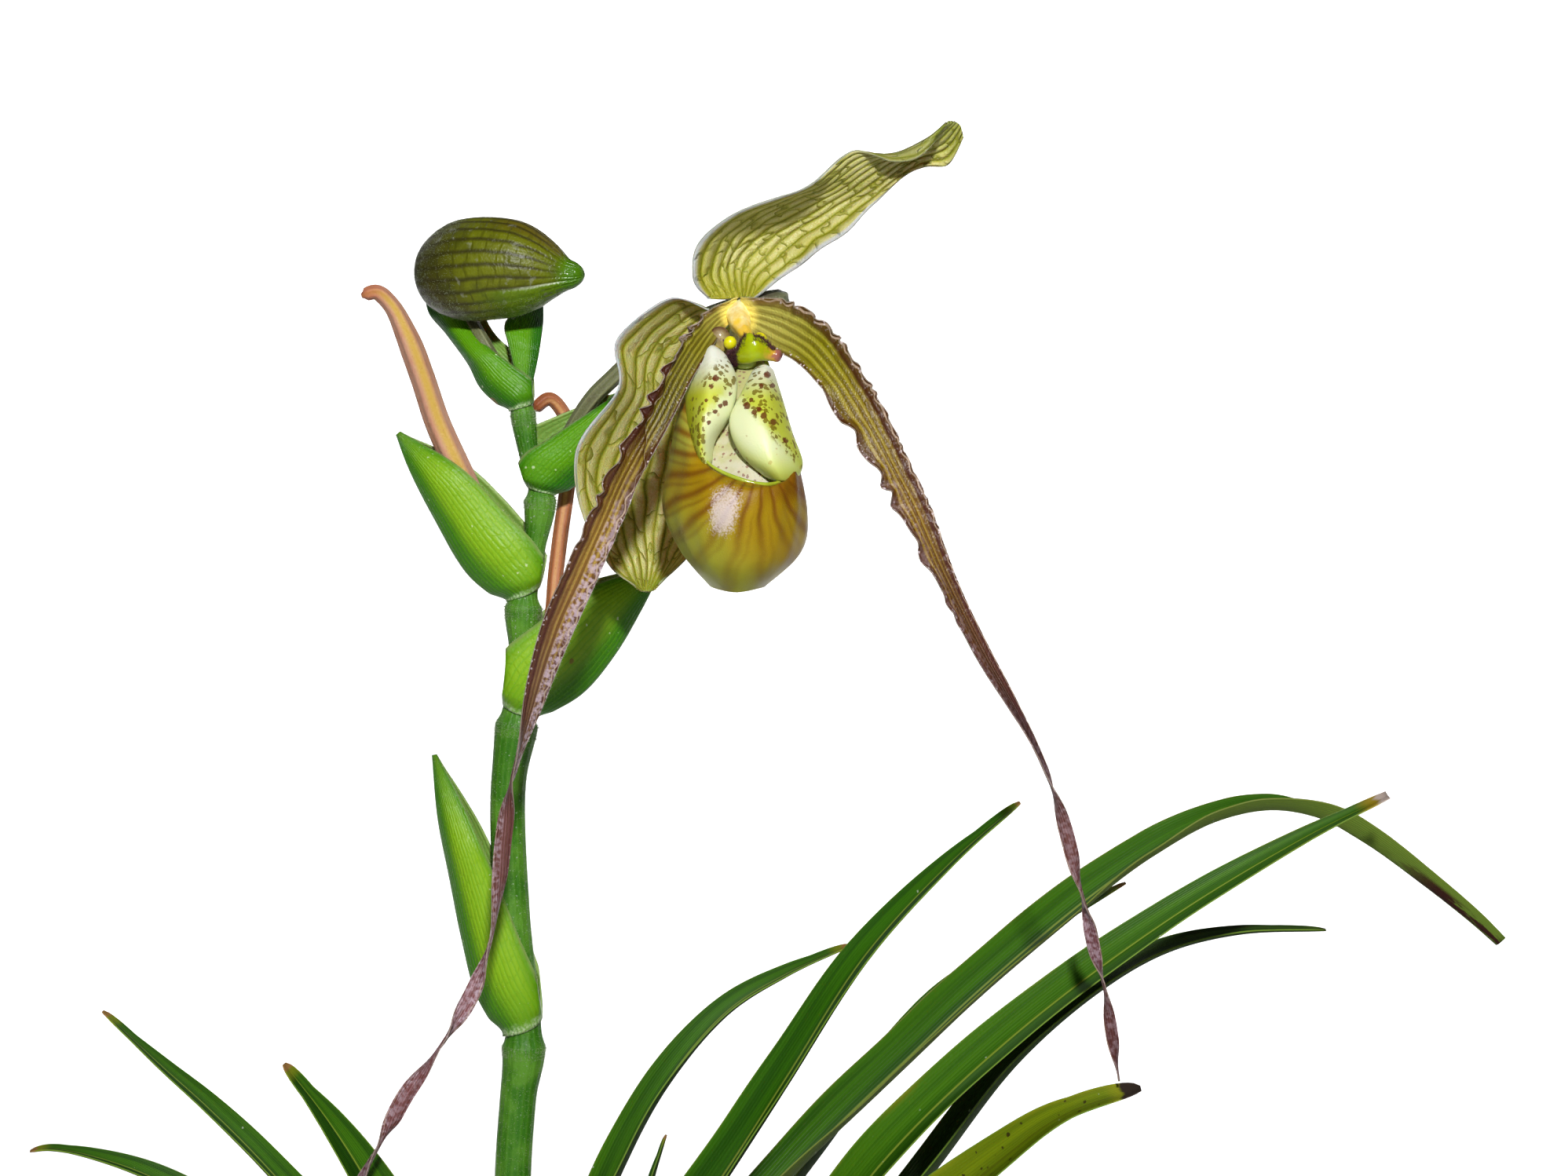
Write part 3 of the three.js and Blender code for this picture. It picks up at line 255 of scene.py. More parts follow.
@dataclass
class Form:
    """Closed bodies of one piece, gathered and then made into one mesh."""

    name: str
    points: list[Array] = field(default_factory=list)
    faces: list[list[int]] = field(default_factory=list)
    shape: list[Array] = field(default_factory=list)
    marks: list[Array] = field(default_factory=list)
    finish: list[int] = field(default_factory=list)

    def add(self, points: Array, groups: Sequence[tuple], finish: int = 0) -> None:
        """Adds one closed body, its faces turned to point out.

        Args:
            points: its vertices.
            groups: tuples of faces, the shape map of their corners and their mark.
            finish: which of the piece's finishes it wears.
        """
        start = sum(len(part) for part in self.points)
        step = -1 if sum(self._volume(points, faces) for faces, _, _ in groups) < 0 else 1
        for faces, shape, mark in groups:
            self.faces += (faces[:, ::step] + start).tolist()
            self.shape.append(shape[:, ::step].reshape(-1, 2))
            self.marks.append(np.broadcast_to(np.asarray(mark, float), shape.shape).reshape(-1, 2))
            self.finish += [finish] * len(faces)
        self.points.append(points)

    @staticmethod
    def _volume(points: Array, faces: Array) -> float:
        """Six times the volume between some faces and the middle of a body.

        Args:
            points: vertices of the body.
            faces: their indices, face by face.

        Returns:
            That number, negative where the faces are turned inwards.
        """
        corners = points[faces] - points.mean(axis=0)
        fans = [(corners[:, 0], corners[:, k], corners[:, k + 1]) for k in range(1, faces.shape[1] - 1)]
        return sum(float(np.einsum("ij,ij->", a, np.cross(b, c))) for a, b, c in fans)

    def add_blade(self, grid: Array, thickness: Array, across: Array, along: Array,
                  upper: float = 1, own: float = 0, finish: int = 0) -> None:
        """Adds a blade round an open grid.

        Args:
            grid: its middle surface.
            thickness: of the blade, at each point of the grid or in all.
            across: share across the organ of each column.
            along: share along the organ of each row.
            upper: mark of the face on the side of the grid's normals.
            own: the piece's own number.
            finish: which of the piece's finishes it wears.
        """
        rows, columns = grid.shape[:2]
        lift = grid_normals(grid, False) * (np.broadcast_to(thickness, (rows, columns)) / 2)[..., None]
        faces, shape = quads(across, along, False)
        low = rows * columns
        index = np.arange(low).reshape(rows, columns)
        border = np.concatenate([index[:-1, 0], index[-1, :-1], index[:0:-1, -1], index[0, :0:-1]])
        after = np.roll(border, -1)
        rim = np.stack([after, border, border + low, after + low], axis=1)
        places = np.stack(np.meshgrid(across, along), -1).reshape(-1, 2)
        self.add(np.concatenate([(grid + lift).reshape(-1, 3), (grid - lift).reshape(-1, 3)]), [
            (faces, shape, (upper, own)),
            (faces[:, ::-1] + low, shape[:, ::-1], (1 - upper, own)),
            (rim, places[rim % low], (upper, own)),
        ], finish)

    def add_loft(self, rings: Array, finish: int = 0, own: float = 0, along: Array | None = None,
                 outer: int | None = None) -> None:
        """Adds a solid through rings of points, its ends closed round their middles.

        Args:
            rings: points by ring and side.
            finish: which of the piece's finishes it wears.
            own: the body's own number.
            along: share along the organ of each ring, by default even.
            outer: how many spans between rings belong to the outer face, by default all.
        """
        rows, count = rings.shape[:2]
        outer = rows if outer is None else outer
        along = np.linspace(0, 1, rows) if along is None else along
        faces, shape = quads(np.linspace(0, 1, count + 1), along, True)
        marks = np.full((len(faces), 1, 2), own, float)
        marks[..., 0] = (np.arange(len(faces)) < outer * count)[:, None]
        groups = [(faces, shape, marks)]
        side = np.arange(count)
        turns = np.stack([side, side, side + 1], axis=1) / count
        for end, row in enumerate((0, rows - 1)):
            ring = row * count + side
            fan = np.stack([np.full(count, rows * count + end), ring, np.roll(ring, -1)], axis=1)
            fan_shape = np.stack([turns, np.full_like(turns, along[row])], axis=-1)
            step = 1 - 2 * end
            groups.append((fan[:, ::step], fan_shape[:, ::step], (row <= outer, own)))
        self.add(np.concatenate([rings.reshape(-1, 3), rings[[0, -1]].mean(axis=1)]), groups, finish)

    def add_cup(self, rings: Array, thickness: float) -> None:
        """Adds a cup whose rings run from a closed foot to an open mouth.

        Args:
            rings: middle surface of its wall, by ring and side.
            thickness: of the wall.
        """
        lift = grid_normals(rings, True) * thickness / 2
        lift = lift * np.sign(np.sum(lift * (rings - rings.mean(axis=1, keepdims=True))))
        along = np.linspace(0, 1, len(rings))
        walls = np.concatenate([rings + lift, (rings - lift)[::-1]])
        self.add_loft(walls, along=np.concatenate([along, along[::-1]]), outer=len(rings))

    def add_hairs(self, hairs: "Hairs") -> None:
        """Adds a coat of tapered three-sided hairs.

        Args:
            hairs: the coat.
        """
        roots, ways = hairs.roots, hairs.ways
        side = unit(np.cross(ways, ways[:, [1, 2, 0]] + (0.3, 0.5, 0.7)))
        third = unit(np.cross(ways, side))
        turns = 2 * math.pi * np.arange(3) / 3
        rings = [roots + hairs.width / 2 * (side * math.cos(a) + third * math.sin(a)) for a in turns]
        a, b, c, tip = np.arange(4 * len(roots)).reshape(4, -1)
        corners = ((a, c, b), (a, b, tip), (b, c, tip), (c, a, tip))
        faces = np.concatenate([np.stack(three, axis=1) for three in corners])
        shape = np.zeros((*faces.shape, 2))
        shape[len(roots):, 2, 1] = 1
        self.add(np.concatenate([*rings, roots + ways]), [(faces, shape, (1, 0))])

    def make(self, finishes: Sequence["Finish"], replaced: Sequence[str] = ()) -> bpy.types.Object:
        """Turns what was gathered into one object that rides on the body.

        Args:
            finishes: what its faces wear, by number.
            replaced: the solids that it stands for.

        Returns:
            The piece.
        """
        mesh = bpy.data.meshes.new(self.name)
        mesh.from_pydata((np.concatenate(self.points) * MM).tolist(), [], self.faces)
        for name, parts in ((SHAPE_MAP, self.shape), (MARK_MAP, self.marks)):
            layer = mesh.uv_layers.new(name=name)
            layer.data.foreach_set("uv", np.concatenate(parts).astype(np.float32).ravel())
        mesh.polygons.foreach_set("material_index", np.array(self.finish, np.int32))
        mesh.shade_smooth()
        for finish in finishes:
            mesh.materials.append(finish.material())
        mesh.validate()
        piece = bpy.data.objects.new(self.name, mesh)
        bpy.context.scene.collection.objects.link(piece)
        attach(piece, BODY)
        if replaced:
            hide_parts(*replaced)
        LOG.info("%s: %d triangles", self.name, sum(len(face) - 2 for face in self.faces))
        return piece


def quads(across: Array, along: Array, wraps: bool) -> tuple[Array, Array]:
    """Faces of a grid of points and the shape map of their corners.

    Args:
        across: share of each column, with one more at the end where the grid wraps.
        along: share of each row.
        wraps: whether the last column joins the first.

    Returns:
        Indices of each face's four corners, and the two shares at each.
    """
    columns = len(across) - wraps
    i, j = np.meshgrid(np.arange(len(along) - 1), np.arange(len(across) - 1), indexing="ij")
    rows = np.stack([i, i + 1, i + 1, i], axis=-1).reshape(-1, 4)
    places = np.stack([j, j, j + 1, j + 1], axis=-1).reshape(-1, 4)
    return rows * columns + places % columns, np.stack([across[places], along[rows]], axis=-1)


@dataclass
class Hairs:
    """Roots, directions with lengths, and width of a coat of hairs."""

    roots: Array
    ways: Array
    width: float


@dataclass(frozen=True)
class Down:
    """How a coat of hairs grows."""

    count: int
    length: float
    width: float = 0.05
    spread: float = 0.45
    seed: int = 1

    def on(self, points: Array, normals: Array) -> Hairs:
        """Scatters hairs over points of a surface.

        Args:
            points: places that hairs may grow from.
            normals: outward directions there.

        Returns:
            The coat.
        """
        random = np.random.default_rng(self.seed)
        points, normals = points.reshape(-1, 3), normals.reshape(-1, 3)
        pick = random.integers(0, len(points), self.count)
        ways = unit(normals[pick] + random.normal(0, self.spread, (self.count, 3)))
        lengths = self.length * random.uniform(0.45, 1.15, (self.count, 1))
        jitter = random.normal(0, 0.12, (self.count, 3))
        across = jitter - normals[pick] * np.sum(jitter * normals[pick], axis=1, keepdims=True)
        return Hairs(points[pick] + across - normals[pick] * 0.05, ways * lengths, self.width)


def down_piece(name: str, coats: Sequence[Hairs], finish: "Finish | None" = None) -> None:
    """Makes one piece of several coats of hairs.

    Args:
        name: of the piece.
        coats: of hairs.
        finish: what they wear, by default the pale down.
    """
    form = Form(name)
    for coat in coats:
        form.add_hairs(coat)
    form.make([finish or DOWN_FINISH])


@dataclass
class Tube:
    """Grid of rings round a spine."""

    spine: Spine
    rings: int
    sides: int

    def grid(self, radii: "RadiusRule") -> Array:
        """Rings of points.

        Args:
            radii: gives the half sizes across and deep for shares along, centres and turns.

        Returns:
            Points by ring and by side.
        """
        shares = np.linspace(0, 1, self.rings)
        centres, heading = self.spine.at(shares), self.spine.heading(shares)
        across = np.array([0.0, 1.0, 0.0])
        frames = []
        for tangent in heading:
            across = unit(across - tangent * np.dot(across, tangent))
            frames.append((across, np.cross(tangent, across)))
        sideways, deep = (np.array(part)[:, None] for part in zip(*frames))
        turns = 2 * math.pi * np.arange(self.sides)[None] / self.sides
        wide, high = radii.at(shares[:, None], centres[:, None], turns)
        return (centres[:, None] + sideways * (wide * np.cos(turns))[..., None]
                + deep * (high * np.sin(turns))[..., None])


class RadiusRule:
    """Base of the rules that size a tube's rings."""

    def at(self, share: Array, centre: Array, turn: Array) -> tuple[Array, Array]:
        """Half sizes across and deep.

        Args:
            share: of the length.
            centre: middle of each ring.
            turn: angle round it.

        Returns:
            Half size across and half size deep, at each point.
        """
        raise NotImplementedError


@dataclass
class RibbedRadius(RadiusRule):
    """Round section with ridges along it."""

    stations: Stations
    ribs: int = 0
    depth: float = 0
    phase: float = 0

    def at(self, share: Array, centre: Array, turn: Array) -> tuple[Array, Array]:
        """Half sizes across and deep, alike.

        Args:
            share: of the length.
            centre: middle of each ring, not used here.
            turn: angle round it.

        Returns:
            Half size across and half size deep, at each point.
        """
        ridge = 1 + self.depth * np.cos(self.ribs * (turn + self.phase)) * (self.ribs > 0)
        size = eased(self.stations, share) * ridge
        return size, size


# ---------------------------------------------------------------- shader wiring

class Signal:
    """Output of a shader node, with arithmetic that wires further nodes to it."""

    def __init__(self, wiring: "Wiring", socket: Socket) -> None:
        """Stands for one socket of a tree."""
        self.wiring = wiring
        self.socket = socket

    def __add__(self, other: Number) -> "Signal":
        """Sum."""
        return self.wiring.math("ADD", self, other)

    def __sub__(self, other: Number) -> "Signal":
        """Difference."""
        return self.wiring.math("SUBTRACT", self, other)

    def __rsub__(self, other: float) -> "Signal":
        """Difference from a plain number."""
        return self.wiring.math("SUBTRACT", other, self)

    def __mul__(self, other: Number) -> "Signal":
        """Product."""
        return self.wiring.math("MULTIPLY", self, other)

    def only(self, operation: str) -> "Signal":
        """A function of this number alone."""
        return self.wiring.math(operation, self)

    def most(self, other: Number) -> "Signal":
        """The larger of two numbers."""
        return self.wiring.math("MAXIMUM", self, other)

    def apart(self, middle: Number) -> "Signal":
        """How far this number is from another."""
        return (self - middle).only("ABSOLUTE")

    def rise(self, low: Number, high: Number, start: Number = 0, end: Number = 1) -> "Signal":
        """Eased step from start to end as this number goes from low to high."""
        eased_step = {"interpolation_type": "SMOOTHSTEP"}
        return self.wiring.node("MapRange", self, low, high, start, end, settings=eased_step)[0]

    def ramp(self, *stops: tuple[float, Colour]) -> "Signal":
        """Colour at this number, eased between stops.

        Args:
            stops: pairs of position and colour, in order.

        Returns:
            The colour.
        """
        made = self.wiring.node("ValToRGB", self)[0]
        band = made.socket.node.color_ramp
        band.interpolation = "EASE"
        while len(band.elements) < len(stops):
            band.elements.new(1)
        for element, (position, colour) in zip(band.elements, stops):
            element.position = position
            element.color = (*colour, 1)
        return made

    def noise(self, scale: Number, detail: float = 2) -> "Signal":
        """Soft cloudy number round a half, at this place."""
        return self.wiring.node("TexNoise", Vector=self, Scale=scale, Detail=detail)[0]

    def specks(self, scale: float, size: float, least: float) -> "Signal":
        """Mask of uneven spots, at this place."""
        return self.wiring.effect(Effect.SPECKS, self, scale, size, least)[0]

    def skin(self, scale: float, stretch: float = 1) -> "Signal":
        """Height of fine plump cells, at this place."""
        return self.wiring.effect(Effect.CELLS, self, scale, stretch)[0]

    def near(self, centre: tuple, low: float, high: float) -> "Signal":
        """1 where this place is within a distance of a point, falling to 0 at another."""
        away = self.wiring.node("VectorMath", self, centre, settings={"operation": "DISTANCE"})[1]
        return away.rise(low, high, 1, 0)

    def parts(self) -> "list[Signal]":
        """The three numbers of this vector."""
        return self.wiring.node("SeparateXYZ", self)


class Wiring:
    """Short calls that place shader nodes in one tree."""

    def __init__(self, tree: bpy.types.NodeTree) -> None:
        """Works in a tree."""
        self.tree = tree

    def feed(self, socket: Socket, value: object) -> None:
        """Joins a socket to a signal, or sets it.

        Args:
            socket: what is fed.
            value: signal, number or colour.
        """
        if isinstance(value, Signal):
            self.tree.links.new(value.socket, socket)
        else:
            socket.default_value = (*value, 1) if socket.type == "RGBA" else value

    def node(self, kind: str, *values: object, settings: dict | None = None, **named: object) -> list[Signal]:
        """Places a node.

        Args:
            kind: its type, without the leading ShaderNode.
            values: what its first sockets get, in order.
            settings: its own properties.
            named: what further sockets get, with _ for a space in their names.

        Returns:
            Its outputs.
        """
        made = self.tree.nodes.new("ShaderNode" + kind)
        for name, value in (settings or {}).items():
            setattr(made, name, value)
        for socket, value in zip(made.inputs, values):
            self.feed(socket, value)
        for name, value in named.items():
            self.feed(made.inputs[name.replace("_", " ")], value)
        return [Signal(self, socket) for socket in made.outputs]

    def math(self, operation: str, *values: Number) -> Signal:
        """Result of a Math node."""
        return self.node("Math", *values, settings={"operation": operation})[0]

    def vector(self, x: Number = 0, y: Number = 0, z: Number = 0) -> Signal:
        """Vector of three numbers."""
        return self.node("CombineXYZ", x, y, z)[0]

    def blend(self, share: Number, first: Paint, second: Paint, way: str = "MIX") -> Signal:
        """Colour between two.

        Args:
            share: of the second.
            first: colour at no share.
            second: colour at a full share.
            way: blend type of the node.

        Returns:
            The colour.
        """
        made = self.node("Mix", share, settings={"data_type": "RGBA", "blend_type": way})
        inputs = made[0].socket.node.inputs
        self.feed(inputs[6], first)
        self.feed(inputs[7], second)
        return made[2]

    def layers(self, ground: Paint, *coats: tuple[Number, Paint]) -> Paint:
        """Colour of a ground under coats.

        Args:
            ground: lowest colour.
            coats: pairs of share and colour.

        Returns:
            The colour.
        """
        for share, colour in coats:
            ground = self.blend(share, ground, colour)
        return ground

    def site(self) -> list[Signal]:
        """Shares across and along, mark of the face, own number, and place in millimetres.

        Returns:
            The five signals, in this order.
        """
        maps = [self.node("UVMap", settings={"uv_map": name})[0] for name in (SHAPE_MAP, MARK_MAP)]
        place = self.node("TexCoord")[3]  # its Object output
        scaled = self.node("VectorMath", place, settings={"operation": "SCALE"}, Scale=1 / MM)[0]
        return [*maps[0].parts()[:2], *maps[1].parts()[:2], scaled]

    def effect(self, kind: "Effect", *values: Number) -> list[Signal]:
        """Outputs of a shared effect with its own values."""
        return self.node("Group", *values, settings={"node_tree": kind.group()})

    def veins(self, *values: Number) -> list[Signal]:
        """Masks of long veins and cross veins, and the height of the pillows between them."""
        return self.effect(Effect.VEINS, *values)


class Effect(Enum):
    """Shared effects, each a node group that is built once."""

    VEINS = "vein_net"
    SPECKS = "specks"
    CELLS = "cell_skin"

    def group(self) -> bpy.types.NodeTree:
        """The node group of this effect, built at its first use."""
        return bpy.data.node_groups.get(self.value) or EffectMaker(self).build()


class EffectMaker:
    """Builds the node group of one effect."""

    SOCKETS: ClassVar[dict] = {
        Effect.VEINS: ("Across Along Count Rows Width Wander Loss", "Long Cross Pillow"),
        Effect.SPECKS: ("Vector Scale Size Least", "Mask"),
        Effect.CELLS: ("Vector Scale Stretch", "Height"),
    }

    def __init__(self, kind: Effect) -> None:
        """Makes the empty group.

        Args:
            kind: which effect.
        """
        self.kind = kind
        self.tree = bpy.data.node_groups.new(kind.value, "ShaderNodeTree")
        self.wiring = Wiring(self.tree)

    def build(self) -> bpy.types.NodeTree:
        """Gives the group its sockets, fills it and returns it.

        Returns:
            The group.
        """
        given, made = (names.split() for names in self.SOCKETS[self.kind])
        for way, names in (("INPUT", given), ("OUTPUT", made)):
            for name in names:
                socket_type = "NodeSocketVector" if name == "Vector" else "NodeSocketFloat"
                self.tree.interface.new_socket(name, in_out=way, socket_type=socket_type)
        inputs = self.tree.nodes.new("NodeGroupInput").outputs
        outputs = self.tree.nodes.new("NodeGroupOutput").inputs
        fill = {Effect.VEINS: self._veins, Effect.SPECKS: self._specks, Effect.CELLS: self._cells}[self.kind]
        results = fill(*(Signal(self.wiring, inputs[name]) for name in given))
        for name, value in zip(made, results):
            self.wiring.feed(outputs[name], value)
        return self.tree

    def _veins(self, across: Signal, along: Signal, count: Signal, rows: Signal, width: Signal,
               wander: Signal, loss: Signal) -> tuple[Signal, ...]:
        """Lengthwise veins with irregular cross veins between them.

        Args:
            across: share across the organ.
            along: share along it.
            count: how many veins run along.
            rows: how many cross veins stand in a row of each.
            width: of a vein, as a share of the space between two.
            wander: how far the veins sway.
            loss: share of the cross veins that are left out.

        Returns:
            Masks of the long and the cross veins, and the height between them.
        """
        w = self.wiring
        spot = w.vector(across * 4, along * 9)
        lane = across * count + (spot.noise(1, 1) - 0.5) * wander
        turn, number = lane.only("FRACT"), lane.only("FLOOR")
        edge = 0.5 - turn.apart(0.5)
        own = w.node("TexWhiteNoise", settings={"noise_dimensions": "1D"}, W=number)[0]
        shaky = own * 7.3 + spot.noise(2.3, 1) * 1.6
        step = along * rows + shaky + turn * (own - 0.5) * 0.9
        cell = w.vector(number, step.only("FLOOR"))
        kept = w.math("GREATER_THAN", w.node("TexWhiteNoise", cell)[0], loss)
        gap = w.math("MINIMUM", step.only("FRACT"), 0.5)
        cross = gap.rise(0, width * 1.3, 1, 0) * kept
        return edge.rise(0, width, 1, 0), cross, edge.rise(0, 0.4) * gap.rise(0, 0.3)

    def _specks(self, place: Signal, scale: Signal, size: Signal, least: Signal) -> tuple[Signal]:
        """Uneven spots of mixed sizes.

        Args:
            place: in millimetres.
            scale: cells in a millimetre.
            size: reach of the largest spot, in cells.
            least: share of the cells that stay empty.

        Returns:
            The mask of the spots.
        """
        w = self.wiring
        shaky = w.node("TexNoise", Vector=place, Scale=scale * 2.5)[1]
        shift = w.math("DIVIDE", 0.45, scale)
        shifts = w.vector(shift, shift, shift)
        moved = w.node("VectorMath", shaky, shifts, place, settings={"operation": "MULTIPLY_ADD"})[0]
        distance, colour, *_ = w.node("TexVoronoi", Vector=moved, Scale=scale)
        own = w.node("SeparateColor", colour)[0]
        return ((size * own.rise(least, 1) - distance).rise(0, 0.06),)

    def _cells(self, place: Signal, scale: Signal, stretch: Signal) -> tuple[Signal]:
        """Fine plump cells, stretched along Z.

        Args:
            place: in millimetres.
            scale: cells in a millimetre.
            stretch: factor on Z, under 1 for long cells.

        Returns:
            Their height.
        """
        w = self.wiring
        spot = w.node("VectorMath", place, w.vector(1, 1, stretch), settings={"operation": "MULTIPLY"})[0]
        return (w.node("TexVoronoi", Vector=spot, Scale=scale)[0] * -0.6 + place.noise(scale, 3),)


# ---------------------------------------------------------------- finishes

@dataclass
class Surface:
    """What a finish feeds its shader."""

    colour: Paint
    roughness: Number = 0.45
    height: Number = 0.5
    bump: float = 0.05  # millimetres of relief
    coat: float = 0
    glow: float = 0  # share of light that passes just under the skin
    shine: float = 0.3  # strength of its reflections


class Finish:
    """Base of the finishes: one Principled shader, dressed by paint()."""

    name: str

    def paint(self, w: Wiring) -> Surface:
        """Wires what the shader gets.

        Args:
            w: wiring of the material.

        Returns:
            What the shader gets.
        """
        raise NotImplementedError

    def material(self) -> bpy.types.Material:
        """The material of this finish, made once.

        Returns:
            The material.
        """
        known = bpy.data.materials.get(self.name)
        if known:
            return known
        made = bpy.data.materials.new(self.name)
        made.use_nodes = True
        w = Wiring(made.node_tree)
        surface = self.paint(w)
        bump = w.node("Bump", Height=surface.height, Distance=surface.bump * MM)[0]
        shader = made.node_tree.nodes["Principled BSDF"]
        for name, value in {
            "Base Color": surface.colour, "Roughness": surface.roughness, "Normal": bump,
            "Coat Weight": surface.coat, "Coat Roughness": 0.12, "Specular IOR Level": surface.shine,
            "Subsurface Weight": surface.glow, "Subsurface Scale": 0.002,
        }.items():
            w.feed(shader.inputs[name], value)
        return made


@dataclass(frozen=True)
class LeafFinish(Finish):
    """Waxy strap leaf with parallel veins, a keel line, pale margins and painted light and shade on the two
    halves of its fold.
    """

    name: str = "leaf_skin"
    dark: Colour = srgb(22, 62, 4)
    light: Colour = srgb(58, 106, 8)
    under: Colour = srgb(40, 64, 12)
    keel: Colour = srgb(128, 146, 48)
    edge: Colour = srgb(104, 134, 44)
    spot: Colour = srgb(58, 34, 14)
    dots: float = 0
    spots: float = 0
    spots_from: float = 0.5
    withered: Colour = srgb(150, 112, 60)
    tip: float = 0.985  # where the withered tip begins
    yellow: Colour = srgb(140, 142, 22)
    yellowing: float = 0

    def paint(self, w: Wiring) -> Surface:
        """Wires the leaf.

        Args:
            w: wiring of the material.

        Returns:
            What the shader gets.
        """
        across, along, upper, own, place = w.site()
        veins = w.veins(across, along, 22, 1, 0.3, 0.25, 1)[0]
        streak = w.vector(across * 9, along * 3, own).noise(1, 3)
        cloud = w.vector(across * 2, along * 7, own).noise(1, 3)
        blotch = w.vector(across * 5, along * 22, own).noise(1, 4)
        offset = across.apart(0.5)
        ground = w.layers(
            self.dark,
            (streak.rise(0.35, 0.68), self.light),
            (veins * 0.2, self.light),
            # Painted light and shade: one half of the folded blade is lightened and the other half darkened.
            (across.rise(0.48, 0.52, 0, 0.3), self.light),
            (across.rise(0.49, 0.52, 1, 0) * 0.45, self.dark),
            (across.apart(0.505).rise(0.01, 0.035, 0.85, 0), self.keel),
            ((offset + cloud * 0.6 + self.yellowing).rise(0.85, 1.15), self.yellow),
        )
        blotch = blotch.rise(0.48, 0.52) * across.rise(0.14, 0.3) * self.spots
        marks = (place.specks(0.7, 0.42, 0.72) * self.dots).most(blotch)
        ragged = along + (cloud - 0.5) * 0.016
        dried = ragged.rise(self.tip, self.tip + 0.006)
        colour = w.layers(
            w.blend(upper, w.blend(veins * 0.25, self.under, self.dark), ground),
            (along.rise(0.02, 0.26, 0.75, 0), srgb(112, 138, 60)),
            (offset.rise(0.478, 0.497), self.edge),
            (marks * along.rise(self.spots_from, self.spots_from + 0.06), self.spot),
            (ragged.rise(self.tip - 0.02, self.tip, 0, 0.6), self.yellow),
            (dried, self.withered),
            (place.specks(0.45, 0.16, 0.9) * 0.5, srgb(205, 215, 195)),
        )
        height = veins * -0.5 + place.skin(1.6, 0.4) * 0.35
        roughness = cloud.rise(0.3, 0.7, 0.4, 0.55) + dried * 0.35 + upper.rise(0, 1, 0.3, 0)
        return Surface(colour, roughness, height, bump=0.12, glow=0.03, shine=0.16)


@dataclass(frozen=True)
class BractFinish(Finish):
    """Light green folded bract with long veins, pale inside, and painted light in the middle of each half."""

    name: str = "bract_skin"
    dark: Colour = srgb(58, 122, 2)
    light: Colour = srgb(130, 174, 18)
    inside: Colour = srgb(116, 156, 66)
    vein: Colour = srgb(92, 152, 8)

    def paint(self, w: Wiring) -> Surface:
        """Wires the bract.

        Args:
            w: wiring of the material.

        Returns:
            What the shader gets.
        """
        across, along, outer, own, place = w.site()
        long, cross, pillow = w.veins(across, along, 30, 18, 0.22, 0.5, 0.45)
        offset = across.apart(0.5)
        cloud = w.vector(across * 4, along * 3, own).noise(1, 3)
        # Painted light: each half is lighter in its middle and darker towards the keel, the margins and both
        # ends.
        middle = offset.rise(0.06, 0.3) * offset.rise(0.38, 0.5, 1, 0.35)
        lit = middle * along.apart(0.45).rise(0.1, 0.5, 1, 0.35) + cloud * 0.3
        ring = (along + place.noise(0.5, 4) * 0.04).rise(0.03, 0.06, 1, 0)
        ground = w.layers(self.dark, (lit.rise(0.15, 1), self.light), (long * 0.5, self.vein),
                          (cross * 0.22, self.vein))
        colour = w.layers(
            w.blend(outer, self.inside, ground),
            (offset.rise(0.475, 0.498, 0, 0.6), srgb(160, 182, 112)),
            (ring * place.noise(1.6, 3).rise(0.4, 0.6, 0.25, 0.9), srgb(172, 194, 146)),
            (place.specks(0.55, 0.22, 0.82) * 0.55, srgb(214, 226, 186)),
            (place.specks(0.16, 0.24, 0.93) * 0.7, srgb(126, 88, 36)),
        )
        height = pillow * 0.5 + place.skin(1.9, 0.5) * 0.45
        return Surface(colour, cloud.rise(0.3, 0.7, 0.34, 0.5), height, bump=0.16, glow=0.08)


GREEN_BRACT = BractFinish("green_bract_skin", dark=srgb(32, 102, 0), light=srgb(90, 150, 4),
                          vein=srgb(66, 132, 4))


@dataclass(frozen=True)
class StemFinish(Finish):
    """Green stem, paler and greyer where its down is thick."""

    name: str = "stem_skin"
    dark: Colour = srgb(48, 106, 8)
    light: Colour = srgb(86, 138, 36)
    pale: Colour = srgb(150, 170, 138)

    def paint(self, w: Wiring) -> Surface:
        """Wires the stem.

        Args:
            w: wiring of the material.

        Returns:
            What the shader gets.
        """
        across, along, _, _, place = w.site()
        veins = w.veins(across, along, 18, 1, 0.4, 0.6, 1)[0]
        dust = place.specks(1.3, 0.3, 0.5) * place.parts()[2].rise(180, 330, 0.25, 0.9)
        colour = w.layers(self.dark, (place.noise(0.14, 4).rise(0.35, 0.65), self.light),
                          (veins * 0.3, self.light), (dust, self.pale))
        return Surface(colour, 0.5, place.skin(1.6, 0.4) + veins * 0.5, bump=0.14, glow=0.04)


@dataclass(frozen=True)
class OvaryFinish(Finish):
    """Ribbed, downy ovary."""

    name: str
    ground: Colour
    rib: Colour
    end: Colour
    ribs: float = 3
    turn: float = 0

    def paint(self, w: Wiring) -> Surface:
        """Wires the ovary.

        Args:
            w: wiring of the material.

        Returns:
            What the shader gets.
        """
        across, along, _, _, place = w.site()
        turn = (across * self.ribs + self.turn).only("FRACT")
        colour = w.layers(
            self.ground,
            (place.noise(0.3, 3).rise(0.35, 0.8, 0, 0.35), self.end),
            (turn.apart(0.5).rise(0.03, 0.2, 1, 0) * 0.9, self.rib),
            (along.rise(0.88, 0.99, 0, 0.85), self.end),
            (place.specks(1.4, 0.3, 0.6) * 0.4, self.end),
        )
        return Surface(colour, 0.5, place.skin(2.2, 0.5), bump=0.1, glow=0.05)


